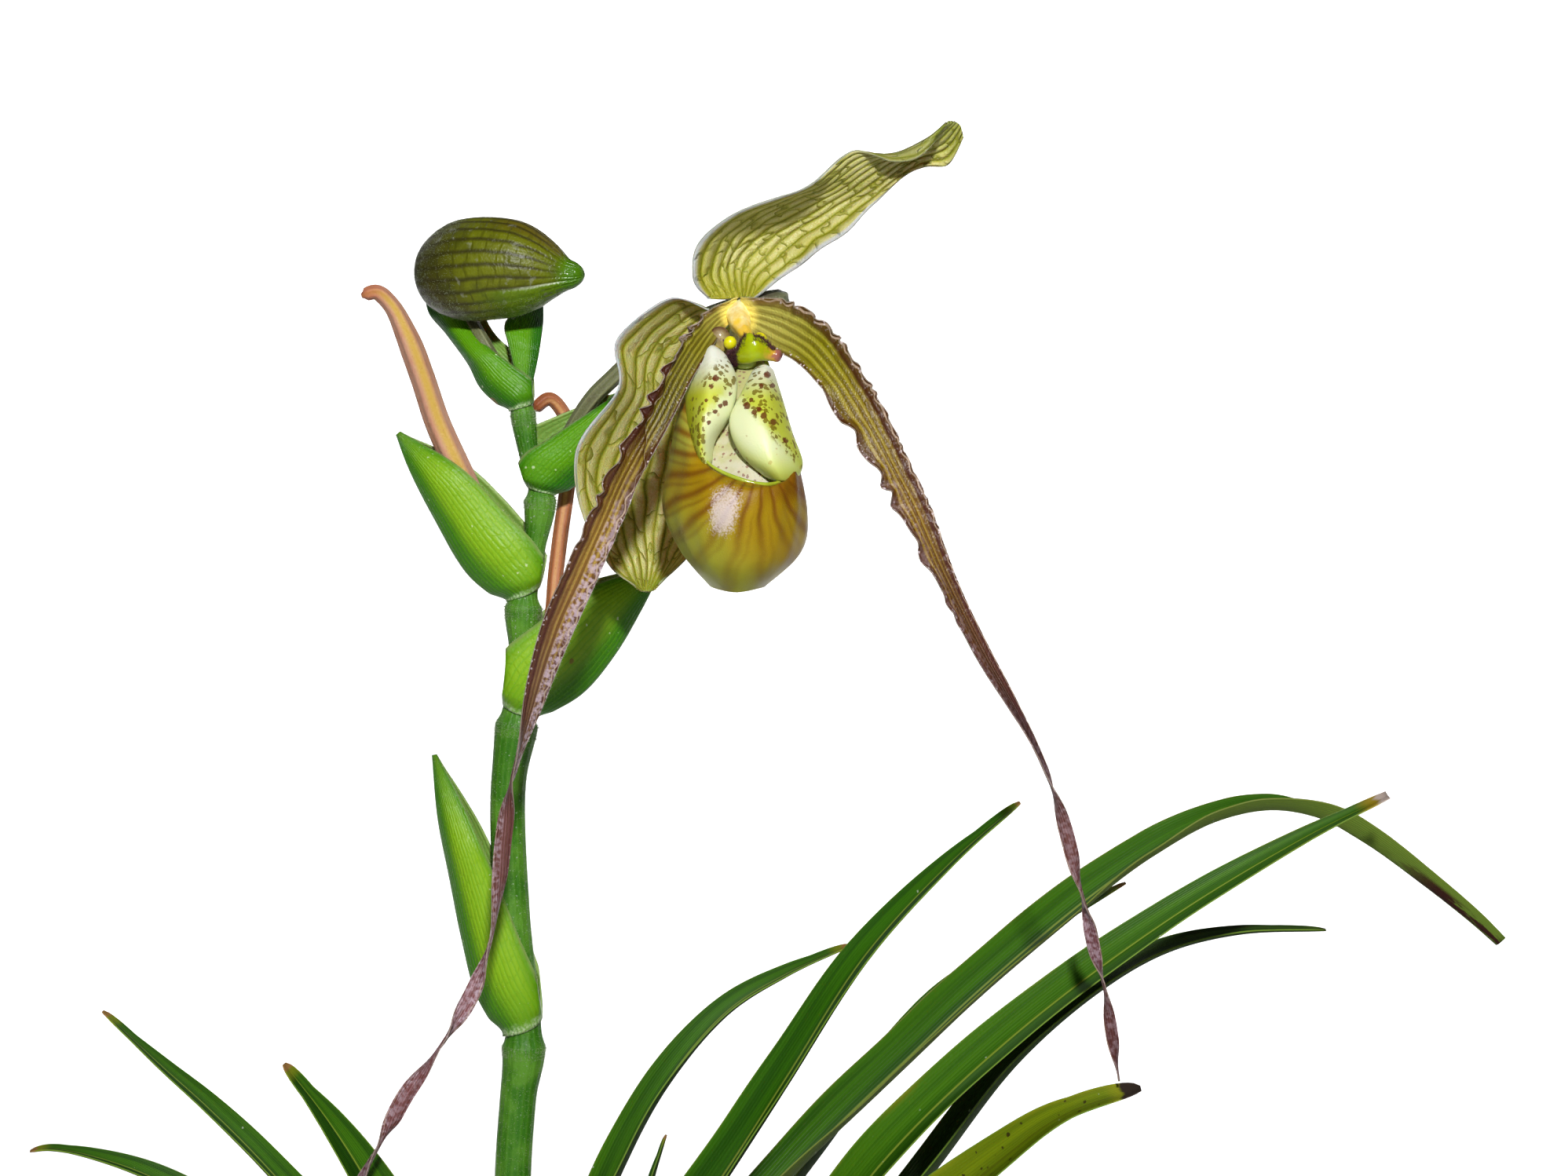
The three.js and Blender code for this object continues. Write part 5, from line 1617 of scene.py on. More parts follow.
SHORT = 90  # rows of a short leaf's mesh
LEAVES = (
    StrapLeaf("leaf_right_front", MAIN_FAN, 9, 1, 12.6,
              [(42, -8, 136), (76, -23, 178), (107, -34, 209.5), (121, -40, 221.5), (138, -44, 228.5)],
              [(0, 0), (0.3, 10), (0.6, 30), (1, 32)], OLD_LEAF, blunt=0.27),
    StrapLeaf("leaf_right_broad", MAIN_FAN, 6, 1, 9.3,
              [(31, -4, 135), (55, -12, 168.5), (80, -20, 205.5), (110, -22, 235.5), (146, -22, 263),
               (178, -21, 282.5), (199, -20, 293)],
              [(0, 0), (0.2, 8), (0.5, 30), (1, 40)], BROAD_LEAF, lost=0.015),
    StrapLeaf("leaf_left_low", MAIN_FAN, 5, -1, 8.5,
              [(-42, 3, 145), (-70, 6, 174.5), (-98, 8, 193), (-116, 9, 199.5), (-126, 10, 201),
               (-131.2, 10, 200.5)],
              [(0, 0), (0.3, 5), (1, 20)]),
    StrapLeaf("leaf_right_arching", MAIN_FAN, 4, 1, 10.5,
              [(19, 3, 140), (38, 13, 170), (60, 21, 194), (88, 20, 222), (104, 18, 238), (131, 15, 262),
               (149, 12, 275.5), (163, 11, 283), (176, 9, 286), (188, 8, 284), (199, 7, 278.2),
               (213, 6, 268.2), (225, 5, 258.8), (231.5, 4.5, 253)],
              [(0, 0), (0.2, -4), (0.45, 18), (0.64, 22), (0.71, 12), (0.77, 2), (0.8, -2), (0.87, -26),
               (1, -34)], ARCHING_LEAF, lost=0.07, rows=190),
    StrapLeaf("leaf_left_mid", MAIN_FAN, 3, -1, 7.5,
              [(-31, 2, 139), (-49, 3, 171), (-70, -2, 199), (-84, -3, 214), (-95, -5, 225),
               (-109, -6, 239)],
              [(0, 0), (0.4, 10), (1, 28)]),
    StrapLeaf("leaf_right_upright", MAIN_FAN, 2, 1, 10,
              [(9, 0, 144), (22, 0, 169), (41.5, 0, 197), (57, -1, 221.5), (76, -4, 252),
               (96, -6, 274.5), (113, -8, 290)],
              [(0, 0), (0.25, 0), (0.5, 24), (1, 34)], TAN_TIPPED_LEAF),
    StrapLeaf("leaf_left_front", MAIN_FAN, 1, -1, 10.5,
              [(-20.5, -1, 140), (-30, -14, 168), (-41, -27, 200), (-50, -31, 217), (-60.5, -33, 232)],
              [(0, 0), (0.3, 5), (0.6, 40), (1, 50)]),
    StrapLeaf("leaf_right_slender", MAIN_FAN, 0, 1, 10,
              [(3.5, 2, 150), (7.5, 5, 175), (16, 8, 197), (27, 12, 217), (42, 17, 234), (57, 20, 243),
               (73, 22, 250)],
              [(0, 0), (0.3, 0), (0.6, 20), (1, 24)]),
    StrapLeaf("leaf_rear_dark", REAR_FAN, 5, 1, 9.3,
              [(52, 30, 135), (73, 18, 166), (94, 6, 198), (114, 4, 225), (134, 6, 242), (150, 7, 251),
               (168, 8, 255.3), (190, 9, 256)],
              [(0, 0), (0.4, 5), (0.8, 14), (1, 10)], SHADED_LEAF),
    StrapLeaf("leaf_rear_left", REAR_FAN, 4, -1, 9,
              [(-6, 40, 128), (-24, 44, 152), (-48, 48, 170), (-76, 52, 176)],
              [(0, 0), (1, 10)], rows=SHORT),
    StrapLeaf("leaf_rear_right", REAR_FAN, 3, 1, 8,
              [(37, 36, 146), (53.5, 34, 177), (66, 33, 195), (95, 32, 233), (115.5, 33, 247),
               (133, 33.5, 257.5), (143.5, 34, 264)],
              [(0, 0), (0.4, 5), (1, 18)]),
    StrapLeaf("leaf_rear_short", REAR_FAN, 2, -1, 8, [(0, 38, 136), (-8, 42, 158), (-20, 46, 178)],
              [(0, 0), (1, 0)], rows=SHORT),
    StrapLeaf("leaf_rear_tip", REAR_FAN, 0, 1, 6.5,
              [(22, 38, 142), (20.5, 40, 163), (21.5, 41, 182), (25.5, 42, 197)],
              [(0, 0), (1, 10)], rows=SHORT),
    StrapLeaf("leaf_young_left", YOUNG_FAN, 2, -1, 8, [(-44, -28, 116), (-60, -33, 138), (-80, -38, 152)],
              [(0, 0), (1, 15)], rows=SHORT),
    StrapLeaf("leaf_young_right", YOUNG_FAN, 1, 1, 8, [(-13, -30, 118), (2, -37, 144), (22, -44, 162)],
              [(0, 0), (1, 15)], rows=SHORT),
    StrapLeaf("leaf_young_centre", YOUNG_FAN, 0, -1, 7,
              [(-34, -28, 126), (-37, -30, 150), (-43, -33, 172)],
              [(0, 0), (1, 5)], rows=SHORT),
)


# ---------------------------------------------------------------- stem and bracts

@dataclass
class StemRadius(RadiusRule):
    """Tapering stem that flares up to each node and draws in above it."""

    plain: Stations = ((93, 4.5), (228, 4.4), (300, 4.2), (322, 3.6), (350, 2.6), (391, 2))
    rings: Stations = ((228.6, 0.85), (307.4, 1.1), (336, 1.35), (362, 1.4), (382.8, 0.85))
    flare: float = 7
    shoulder: float = 2.2

    def size(self, height: Array) -> Array:
        """Radius at a height.

        Args:
            height: above the floor.

        Returns:
            The radius.
        """
        size = np.interp(height, *zip(*self.plain))
        for ring, swell in self.rings:
            away = height - ring
            size = size + swell * np.exp(-((away / np.where(away < 0, self.flare, self.shoulder)) ** 2))
        return size

    def at(self, share: Array, centre: Array, turn: Array) -> tuple[Array, Array]:
        """Half sizes across and deep, alike.

        Args:
            share: of the length.
            centre: middle of each ring.
            turn: angle round it.

        Returns:
            Half size across and half size deep, at each point.
        """
        rim = sum(np.exp(-(((centre[..., 2] - ring) / 0.5) ** 2)) for ring, _ in self.rings)
        size = self.size(centre[..., 2]) + 0.12 * rim + 0.03 * np.cos(9 * turn + 4 * share)
        return size, size


STEM_RADIUS = StemRadius()
STEM_SPINE = ((-5, 0, 93.35), (-8, 0, 135), (-10.5, 0, 190), (-9, 0, 216), (-7.5, 0, 229),
              (-10.2, 0, 262), (-11, 0, 292), (-8.8, 0, 308), (-7, 0, 322), (-7, 0, 337),
              (-4.5, 0, 350), (-3, 0, 363), (-5.5, 0, 373), (-7, 0, 383.4))


def stem_axis(height: Array) -> Array:
    """Place along X of the stem's axis at a height."""
    line = Spine(STEM_SPINE).line
    return np.interp(height, line[:, 2], line[:, 0])


@dataclass
class FlowerStem:
    """The upright stem and its down."""

    end: tuple = (-7.4, 0, 391)  # inside the uppermost sheath
    down: Down = Down(9000, 0.75)
    ring_down: Down = Down(5200, 0.8, seed=2)

    def build(self) -> None:
        """Makes the stem and its down."""
        grid = Tube(Spine([*STEM_SPINE, self.end]), 480, 40).grid(STEM_RADIUS)
        form = Form("flower_stem_skin")
        form.add_loft(grid)
        form.make([StemFinish()], ["flower_stem"])
        away = outward(grid)
        heights = grid.mean(axis=1)[:, 2]
        close = np.min([np.abs(heights - ring + 0.6) for ring, _ in STEM_RADIUS.rings], axis=0) < 1.8
        coats = [self.down.on(grid[150:], away[150:]), self.ring_down.on(grid[close], away[close])]
        down_piece("flower_stem_down", coats)


@dataclass
class Bract:
    """Boat-shaped bract between two side outlines, folded along its keel."""

    node: str
    keel: Sequence[tuple[float, float]]
    margin: Sequence[tuple[float, float]]
    depth: Stations
    behind: Stations = ((0, 0), (1, 0))
    finish: BractFinish = BractFinish()
    far: float = 0.08  # how much further the half behind reaches
    clasp: float = 0.17  # share of the length that closes in round the stem
    rows: int = 90
    columns: int = 47

    TURN: ClassVar[float] = 0.72
    CROWDING: ClassVar[float] = 1.25
    FOLD_GAP: ClassVar[float] = 0.35

    def grid(self) -> tuple[Array, Array, Array]:
        """The bract's middle surface, with the shares across and along it.

        Returns:
            Its points by row and column, and the shares across and along.
        """
        t = np.linspace(0, 0.992, self.rows)
        u = np.linspace(-1, 1, self.columns)
        inner, outer = (Spine([(x, 0, z) for x, z in side]).at(t) for side in (self.keel, self.margin))
        share = np.abs(u)[None, :, None]
        back = self.far * smooth(t, 0.12, 0.45) * (1 - smooth(t, 0.85, 1))
        longer = 1 + back[:, None, None] * (u > 0)[None, :, None]
        grid = inner[:, None] + (outer - inner)[:, None] * longer * share**self.CROWDING
        bulge = eased(self.depth, t)[:, None] * np.sign(u) * np.sin(np.abs(u) * self.TURN * math.pi)
        wave = 0.16 * np.sin(t[:, None] * 17 + 3 * u) * np.abs(u) ** 3 * np.sign(u)
        grid[..., 1] = eased(self.behind, t)[:, None] + bulge + wave
        if self.clasp:
            self._close_round_stem(grid, *(1 - smooth(t, 0, self.clasp * k)[:, None] for k in (0.45, 1)))
        return grid, (u + 1) / 2, t

    def _close_round_stem(self, grid: Array, pull: Array, wrap: Array) -> None:
        """Draws the foot of the bract in to a ring on the stem.

        Args:
            grid: the bract's middle surface, changed in place.
            pull: share by which each row comes in to the stem.
            wrap: share by which it closes round it.
        """
        axis = stem_axis(grid[..., 2])
        side = np.sign(grid[0, self.columns // 2, 0] - axis[0, self.columns // 2])
        x, y = (grid[..., 0] - axis) * side, grid[..., 1]
        angle, reach = np.arctan2(y, x), np.hypot(x, y)
        widest = np.max(np.abs(angle), axis=1, keepdims=True)
        angle = angle * (1 + (0.97 * math.pi / widest - 1) * wrap)
        reach = reach + (STEM_RADIUS.size(grid[..., 2]) + self.FOLD_GAP - reach) * pull
        ahead = np.maximum(reach * np.cos(angle), -STEM_RADIUS.size(grid[..., 2]) - self.FOLD_GAP)
        grid[..., 0] = axis + side * ahead
        grid[..., 1] = reach * np.sin(angle)

    def build(self) -> list[Hairs]:
        """Makes the bract and returns the down for its margins and back.

        Returns:
            Both coats.
        """
        grid, across, along = self.grid()
        normals = grid_normals(grid, False)
        out = np.sign(np.sum(normals[:, -4] * (0, 1, 0)))
        form = Form(self.node + "_leaf")
        form.add_blade(grid, 0.55 - 0.25 * np.abs(2 * across - 1) ** 2, across, along,
                       upper=(1 + out) / 2, own=hash_share(self.node))
        form.make([self.finish], [self.node])
        faces = (grid + normals * out * 0.3)[:, 1:-1]
        seed = len(self.node)
        return [Down(380, 0.55, seed=seed).on(faces, (normals * out)[:, 1:-1]),
                Down(520, 0.7, seed=seed + 1).on(*margins(grid))]


BRACTS = (
    Bract("bract_1",
          [(-13.2, 231.4), (-19, 242), (-22.3, 255), (-25.2, 270), (-28, 285), (-29.3, 301)],
          [(-2.3, 236), (-3, 244), (-8.3, 257), (-13, 269), (-19.5, 284), (-28.6, 301)],
          [(0, 5.6), (0.25, 5.8), (0.6, 5), (1, 0.7)]),
    Bract("bract_2",
          [(-3.4, 309.4), (7, 315.5), (15, 325), (21.2, 335.5), (26.5, 346)],
          [(-12.5, 313.5), (-12.8, 324), (-3, 333), (8, 341), (26, 346.5)],
          [(0, 5.9), (0.25, 6.2), (0.6, 5.6), (1, 0.7)]),
    Bract("bract_3",
          [(-12.4, 337.6), (-20.5, 344.5), (-28.5, 358), (-34.5, 370), (-37.6, 378.5)],
          [(-1.8, 341.6), (-2.4, 349.5), (-11, 359.5), (-21.5, 370), (-37, 379)],
          [(0, 5.2), (0.25, 6), (0.6, 5.2), (1, 0.7)]),
    Bract("bract_4",
          [(2.2, 363.4), (8.2, 368.5), (13, 376), (16.5, 383), (18.5, 389)],
          [(-7.4, 366), (-7.4, 372), (0, 377.4), (9.6, 383.6), (18, 389.3)],
          [(0, 4.9), (0.25, 5.6), (0.7, 5.4), (1, 0.7)], finish=GREEN_BRACT, far=0.5),
    Bract("bract_5",
          [(-10.9, 383.6), (-17.2, 389.4), (-20.4, 395.4), (-26, 402.5), (-30.6, 408), (-31.6, 413),
           (-30.5, 418)],
          [(-3.3, 386), (-4.4, 390.8), (-9.6, 395), (-15.4, 399.4), (-19.4, 404), (-23.4, 411), (-30, 418.4)],
          [(0, 4), (0.25, 4.7), (0.6, 4.6), (1, 0.7)], [(0, 0), (0.35, 2), (0.7, 9), (1, 16)],
          GREEN_BRACT, far=0.5),
    Bract("bract_terminal",
          [(-5.4, 388), (-4.2, 394), (-3.2, 400), (-2.8, 406), (-3.2, 412)],
          [(-8.3, 389), (-9.2, 394.5), (-10.6, 400), (-11.5, 405), (-5, 412)],
          [(0, 1.3), (0.3, 2), (0.7, 2), (1, 0.6)], [(0, 0), (0.4, 2.5), (1, 10)],
          GREEN_BRACT, far=0, clasp=0),
)


# ---------------------------------------------------------------- ovaries and bud

@dataclass
class Ovary:
    """Long ribbed ovary that carries, or once carried, a flower."""

    node: str
    spine: Sequence[tuple[float, float, float]]
    radius: Stations
    finish: OvaryFinish

    def build(self) -> Hairs:
        """Makes the ovary and returns its down, for one piece with that of the others.

        Returns:
            The coat.
        """
        grid = Tube(Spine(self.spine), 130, 36).grid(RibbedRadius(self.radius, 6, 0.07, 0.4))
        form = Form(self.node + "_ribbed")
        form.add_loft(grid)
        form.make([self.finish], [self.node])
        return Down(1100, 0.45, 0.045, seed=5).on(grid, outward(grid))


SPENT_PINK = OvaryFinish("spent_ovary_pink", srgb(190, 142, 118), srgb(194, 158, 56), srgb(176, 104, 70),
                         2.0, 0.42)
SPENT_BROWN = OvaryFinish("spent_ovary_brown", srgb(170, 104, 66), srgb(196, 142, 88), srgb(134, 66, 34), 3.0)
GREEN_BROWN = OvaryFinish("green_ovary_skin", srgb(96, 100, 62), srgb(124, 126, 90), srgb(84, 70, 62), 6.0)

OVARIES = (
    Ovary("ovary_spent_left",
          [(-13.5, 0, 349), (-18, 0, 360), (-23.2, 0, 371), (-27.6, 0, 381), (-31.1, -1, 392),
           (-34.7, -2, 402), (-38.2, -3, 409.1), (-41.6, -4, 412.1), (-45, -5, 411.2)],
          [(0, 1.8), (0.3, 3), (0.7, 2.8), (0.92, 1.9), (0.98, 1.6), (1, 0.5)], SPENT_PINK),
    Ovary("ovary_spent_right",
          [(-1.5, 1, 328), (-0.3, 1.5, 336), (0.4, 4, 344), (1.4, 8, 354), (3, 10, 366), (4, 11, 376),
           (2, 11, 383.2), (-1.4, 10, 386.8), (-5.4, 9, 384)],
          [(0, 1.4), (0.3, 1.8), (0.75, 1.8), (0.93, 1.6), (0.98, 1.5), (1, 0.4)], SPENT_BROWN),
    Ovary("ovary_flower",
          [(1, 0, 373), (5, 0, 380), (10, 0, 387), (14.5, 0.5, 391.5), (21, 2, 397.5), (31, 6, 404),
           (44, 6, 409), (53.6, -2, 410.4), (54.4, -13, 409.6), (50.6, -20, 408.4), (47.6, -22.8, 407.7)],
          [(0, 1.4), (0.2, 2), (0.7, 2.2), (1, 2.9)], GREEN_BROWN),
    Ovary("ovary_bud",
          [(-9.5, 0, 390.5), (-14, 0.5, 396.5), (-17.5, 1.8, 402), (-21.6, 7.4, 407.4),
           (-27.5, 11, 411.5), (-30.4, 12.2, 415.5), (-31.2, 10.8, 418.4)],
          [(0, 1.1), (0.3, 1.5), (0.8, 1.8), (1, 2)], GREEN_BROWN),
)


@dataclass
class BudRadius(RadiusRule):
    """Plump bud with a seam whose lower flap stands proud near the beak."""

    stations: Stations = ((0, 0.3), (0.012, 3.2), (0.045, 6.5), (0.1, 9.1), (0.2, 11.3), (0.33, 12.3),
                          (0.5, 12), (0.62, 11), (0.74, 8.7), (0.84, 5.7), (0.905, 3.7), (0.95, 2.9),
                          (0.985, 1.7), (1, 0.4))
    flatness: float = 0.86
    stripes: int = 24
    seam: float = 0.585

    def at(self, share: Array, centre: Array, turn: Array) -> tuple[Array, Array]:
        """Half sizes across and deep.

        Args:
            share: of the length.
            centre: middle of each ring, not used here.
            turn: angle round it.

        Returns:
            Half size across and half size deep, at each point.
        """
        around = turn / (2 * math.pi)
        size = flowing(self.stations, share) * np.ones_like(around)
        folds = np.cos(2 * math.pi * self.stripes * around) * 0.07 * smooth(share, 0.05, 0.3)
        flap = smooth(around, self.seam - 0.008, self.seam + 0.008) * smooth(-around, -0.9, -0.78)
        step = 0.5 * flap * smooth(share, 0.35, 0.7) * smooth(-share, -0.99, -0.9)
        groove = 0.28 * np.exp(-(((around - self.seam) / 0.012) ** 2)) * smooth(share, 0.3, 0.6)
        size = size + (folds - groove + step) * np.minimum(size / 8, 1)
        return size * self.flatness, size


@dataclass
class Bud:
    """The unopened bud and its down."""

    spine: tuple = ((-29.8, 8, 417.2), (-25.8, 3.5, 417.2), (-18, -1, 417.8), (-9, -4, 417.9),
                    (-1, -6, 417), (4.5, -7.5, 416.2), (8.6, -8.5, 416))
    radius: BudRadius = field(default_factory=BudRadius)
    down: Down = Down(4200, 0.6, seed=9)
    sparse_down: Down = Down(700, 0.5, seed=10)

    def build(self) -> None:
        """Makes the bud and its down, which is thick at the base and along the seam."""
        grid = Tube(Spine(self.spine), 150, 144).grid(self.radius)
        form = Form("bud_body")
        form.add_loft(grid)
        form.make([BudFinish()], ["bud"])
        away = outward(grid)
        base, underside = slice(2, 52), (slice(40, 120), slice(90, 112))
        coats = [self.down.on(grid[base], away[base]), self.sparse_down.on(grid[underside], away[underside])]
        down_piece("bud_down", coats)


# ---------------------------------------------------------------- petals

@dataclass
class Petal:
    """Ribbon petal along its midrib, crisped at its margins and twisted towards its tip."""

    node: str
    midrib: Sequence[tuple[float, float, float]]
    half: Stations
    roll: Stations
    waves: int
    finish: PetalFinish
    rows: int = 520
    columns: int = 37
    hollow: float = 0.22
    plain_waves: float = 1.2
    dark_waves: float = 0.5
    dark_pace: float = 2.3
    calm: tuple[float, float] = (0.34, 0.5)

    def grid(self) -> tuple[Array, Array, Array]:
        """The petal's middle surface, with the shares across and along it.

        Returns:
            Its points by row and column, and the shares across and along.
        """
        spine = Spine(self.midrib)
        t = np.linspace(0, 1, self.rows)
        u = margin_crowded(self.columns)
        centre, heading = spine.at(t), spine.heading(t)
        face = unit(np.array([0, -1, 0]) + heading * heading[:, 1:2])
        wide, high = rolled(np.cross(heading, face), face, self.roll, t)
        span = eased(self.half, t)[:, None]
        dark = (u * self.finish.dark_side > 0)[None]
        size = np.where(dark, self.dark_waves, self.plain_waves)
        start = np.where(dark, 0.03, 0.15)
        fade = size * smooth(t[:, None] - start, 0, 0.04) * (1 - smooth(t, *self.calm))[:, None]
        phase = 2 * math.pi * self.waves * t[:, None] * np.where(dark, self.dark_pace, 1)
        loose = phase + 1.6 * np.sin(0.29 * phase + 1) + 1.1 * np.sin(0.61 * phase) + 2.4 * dark
        wave = 0.95 * fade * u * u * np.cos(loose + 1.3 * u)
        crisp = 0.3 * fade * np.abs(u) ** 5 * np.cos(2.7 * loose + 5 * u)
        pull = 1 + 0.14 * fade * np.abs(u) ** 3 * np.cos(loose - 2 * u)
        ribs = 0.07 * np.cos(8 * math.pi * (u + 1)) * (1 - u**4) * smooth(span, 0.8, 2.5)
        over = 0.5 * self.finish.dark_side * u - self.finish.line_at(t)[:, None]
        flap = self.finish.folded * 0.7 * smooth(over, -0.02, 0.06) * (1 - smooth(t, 0.2, 0.24))[:, None]
        depth = wave + crisp + ribs + flap + self.hollow * span * (u * u - 0.5)
        grid = centre[:, None] + wide * (u * span * pull)[..., None] + high * depth[..., None]
        return grid, (u + 1) / 2, t

    def build(self) -> Hairs:
        """Makes the petal and returns the down for its margins.

        Returns:
            The coat.
        """
        grid, across, along = self.grid()
        form = Form(self.node + "_ribbon")
        front = faces_front(grid[:self.rows // 6])
        form.add_blade(grid, 0.5 - 0.22 * np.abs(2 * across - 1) ** 3, across, along, front)
        form.make([self.finish], [self.node])
        return Down(1500, 0.6, seed=self.waves).on(*margins(grid[2:self.rows // 2]))


PETALS = (
    Petal("petal_left",
          [(45.6, -29.6, 407.4), (42, -33, 405.5), (38, -43, 401), (33, -51, 393), (27.5, -57, 382),
           (21.5, -58.5, 371), (16, -57, 358.5), (10.5, -54, 346.5), (5, -50, 334.5), (1, -46, 323.5),
           (-3, -42, 310.5), (-6.5, -39, 298), (-8.5, -37, 286), (-9.8, -35, 275), (-11.6, -34, 263),
           (-15, -34, 251.5), (-20, -35, 242), (-26, -37, 233), (-31.5, -38, 225.5), (-36, -38, 217),
           (-40.5, -37, 208.5), (-44, -36, 200), (-46, -35, 190), (-45, -34, 178)],
          [(0, 2.4), (0.08, 3.4), (0.18, 3.7), (0.34, 3.8), (0.46, 2.4), (0.56, 1.9), (0.98, 1.9), (1, 0.7)],
          [(0, 15), (0.2, 25), (0.4, 5), (0.5, 85), (0.56, 180), (0.66, 275), (0.71, 360), (0.75, 445),
           (0.82, 540), (0.86, 630), (0.94, 720), (1, 810)], 24, LEFT_PETAL,
          plain_waves=0.8, dark_waves=1.1, dark_pace=1.7, calm=(0.16, 0.36)),
    Petal("petal_right",
          [(46.2, -30.4, 406.2), (48.5, -33, 405.5), (56, -38, 402.6), (63, -44, 398), (69.2, -50, 390),
           (75, -54, 380.5), (80.6, -56, 370), (85.6, -57, 360), (90, -57, 350), (94.8, -56, 340),
           (100.5, -55, 329), (106.6, -54, 318.5), (112.4, -53, 308), (117, -52, 297), (120, -51, 287),
           (122.3, -50, 278), (124.6, -49, 269.5), (126.5, -48, 261), (129, -47, 252), (130.5, -46, 243),
           (131.8, -45.5, 235), (132.5, -45, 230.6)],
          [(0, 3.6), (0.06, 5.9), (0.1, 5.5), (0.18, 4.8), (0.31, 3.7), (0.45, 2.2), (0.6, 1.7), (0.72, 1.6),
           (0.95, 1.4), (1, 0.5)],
          [(0, -20), (0.1, -8), (0.3, 10), (0.5, 25), (0.64, 70), (0.73, 180), (0.79, 270), (0.84, 360),
           (0.89, 450), (0.95, 540), (1, 630)], 22, RIGHT_PETAL),
)


# ---------------------------------------------------------------- flower

FLOWER_CENTRE = np.array([45.0, -30.0, 406.0])

DORSAL_CAGE = (
    ((-6.6, 2.2, 3.4), (-2.6, 3.2, 3.4), (0.6, 3.5, 3.8), (2.2, 3.2, 3.8), (3.8, 2.6, 3.2)),
    ((-10, -0.5, 8), (-5, 6, 10), (-0.5, 9.5, 10.5), (4, 9.5, 9.5), (8.5, 7.5, 7)),
    ((-8.8, -2, 15), (-2.5, 6, 17), (3, 11, 16.5), (8.5, 12, 14), (14, 8, 11)),
    ((-2.2, -4, 21.6), (4, 4, 22.2), (8.5, 10, 21), (13.5, 12, 18.5), (19.5, 6, 15)),
    ((9.2, -4, 25.9), (12, 3, 26.2), (16.5, 8, 25), (21, 10, 23), (26, 4, 19.5)),
    ((18.2, -4, 29.9), (20.5, 2, 29.6), (24, 6, 28.8), (27.6, 8, 27), (32, 4, 25.5)),
    ((27, -3, 37), (29.4, -1, 35.5), (32, 1, 34), (35.2, 2, 32), (38.2, 1, 31)),
    ((36, -5.5, 34), (37, -3.5, 36.2), (38.8, -1, 36.8), (41.2, 1, 36), (43.4, 1, 33.6)),
    ((42.5, -8, 35.6), (43.4, -7.5, 38.8), (45.4, -4, 40), (47.6, 0.5, 38.2), (48.8, 2, 34.2)),
    ((46.4, -6, 40.9), (47.8, -6, 42.7), (49.6, -3.5, 43.5), (51.4, -1, 42.9), (52.2, 0, 40.2)),
)

SYNSEPAL_CAGE = (
    ((-4, 3, 0), (-3.2, 4.2, -1), (-2, 4.8, -1.7), (-0.4, 4.8, -2.1), (1.2, 4.4, -2.3)),
    ((-15.4, 0, 3.2), (-10, 7.5, 1), (-7, 10.5, -3.5), (-2.5, 10.5, -5.5), (3.5, 8.5, -6)),
    ((-27.2, 0, -5.5), (-20.5, 9, -9), (-13, 14, -12.5), (-3.5, 14, -14.5), (7, 11, -14.5)),
    ((-27.6, -1, -17.5), (-22.5, 9, -20), (-15, 16, -23.5), (-5.5, 16, -25.5), (6.5, 12, -25.5)),
    ((-37, -4, -32), (-29, 8, -35), (-17.5, 16, -36.5), (-6.5, 16, -37.5), (4, 12, -37.5)),
    ((-35, -4, -47), (-27.5, 6, -48), (-19.5, 14, -48.5), (-11, 14, -49.5), (-2, 10, -49)),
    ((-29.5, 0, -58), (-24.5, 5, -58.5), (-20, 9, -59), (-15.5, 9, -58.2), (-11, 6, -56)),
    ((-23.5, 2, -63.4), (-22.2, 3, -64.2), (-20.8, 4, -64.4), (-19.4, 4, -64), (-18, 3, -62.8)),
)

POUCH_CAGE = (
    ((0.5, -24, -62.8), (4.5, -22, -62.2), (6.5, -16, -61.8), (4, -9, -61.4), (-0.5, -7, -61.4),
     (-4, -9, -61.4), (-5.5, -16, -61.8), (-3, -22, -62.4)),
    ((1, -32, -56.5), (10, -28, -55.5), (14.6, -17, -54), (8.5, -5, -53.5), (-0.5, -2, -54),
     (-8.5, -5, -53.5), (-12, -17, -54), (-7.5, -28, -55.5)),
    ((1.5, -36.5, -46), (12, -31, -45.4), (15.8, -17, -45.4), (10, -2, -44), (-0.5, 2, -45),
     (-10.5, -2, -44.5), (-16, -16, -44.5), (-10, -31, -46)),
    ((3, -36.5, -40.5), (12.3, -30, -39), (13.6, -17, -34.5), (8.5, -3, -34.5), (-0.5, 0.5, -34.5),
     (-10, -3, -34.5), (-14.5, -15, -34), (-8.5, -30, -38)),
    ((3.5, -33.5, -39.5), (12.2, -27.5, -37.5), (10.6, -15, -24), (6.5, -5, -22), (-0.5, -1.5, -20),
     (-8, -5, -21), (-12, -14.5, -22), (-8.2, -27, -34)),
    ((3.5, -31.5, -38.6), (11, -25.5, -37.5), (7.6, -11.5, -13.5), (5, -5.5, -9.5), (-0.5, -3, -8.5),
     (-5.5, -5.5, -9), (-8.2, -11.5, -13), (-7, -25, -33.2)),
)

LOBE_RIGHT = (
    ((8.2, -8, -12), (6.8, -11.2, -11.2), (4.6, -10, -12), (5, -6.5, -12.4)),
    ((10.6, -15, -19.6), (7, -23, -18.8), (1.4, -20, -18.6), (4.6, -13, -19.5)),
    ((12.9, -19, -27.4), (7, -29.5, -26), (-1.2, -24.5, -25.4), (4, -17, -26.4)),
    ((15.2, -22, -34), (9, -32, -34.4), (1.6, -27, -32.6), (6.5, -20, -33)),
    ((14, -23.5, -38), (11, -29, -39), (8, -27, -38.4), (8.5, -21.5, -38)),
)

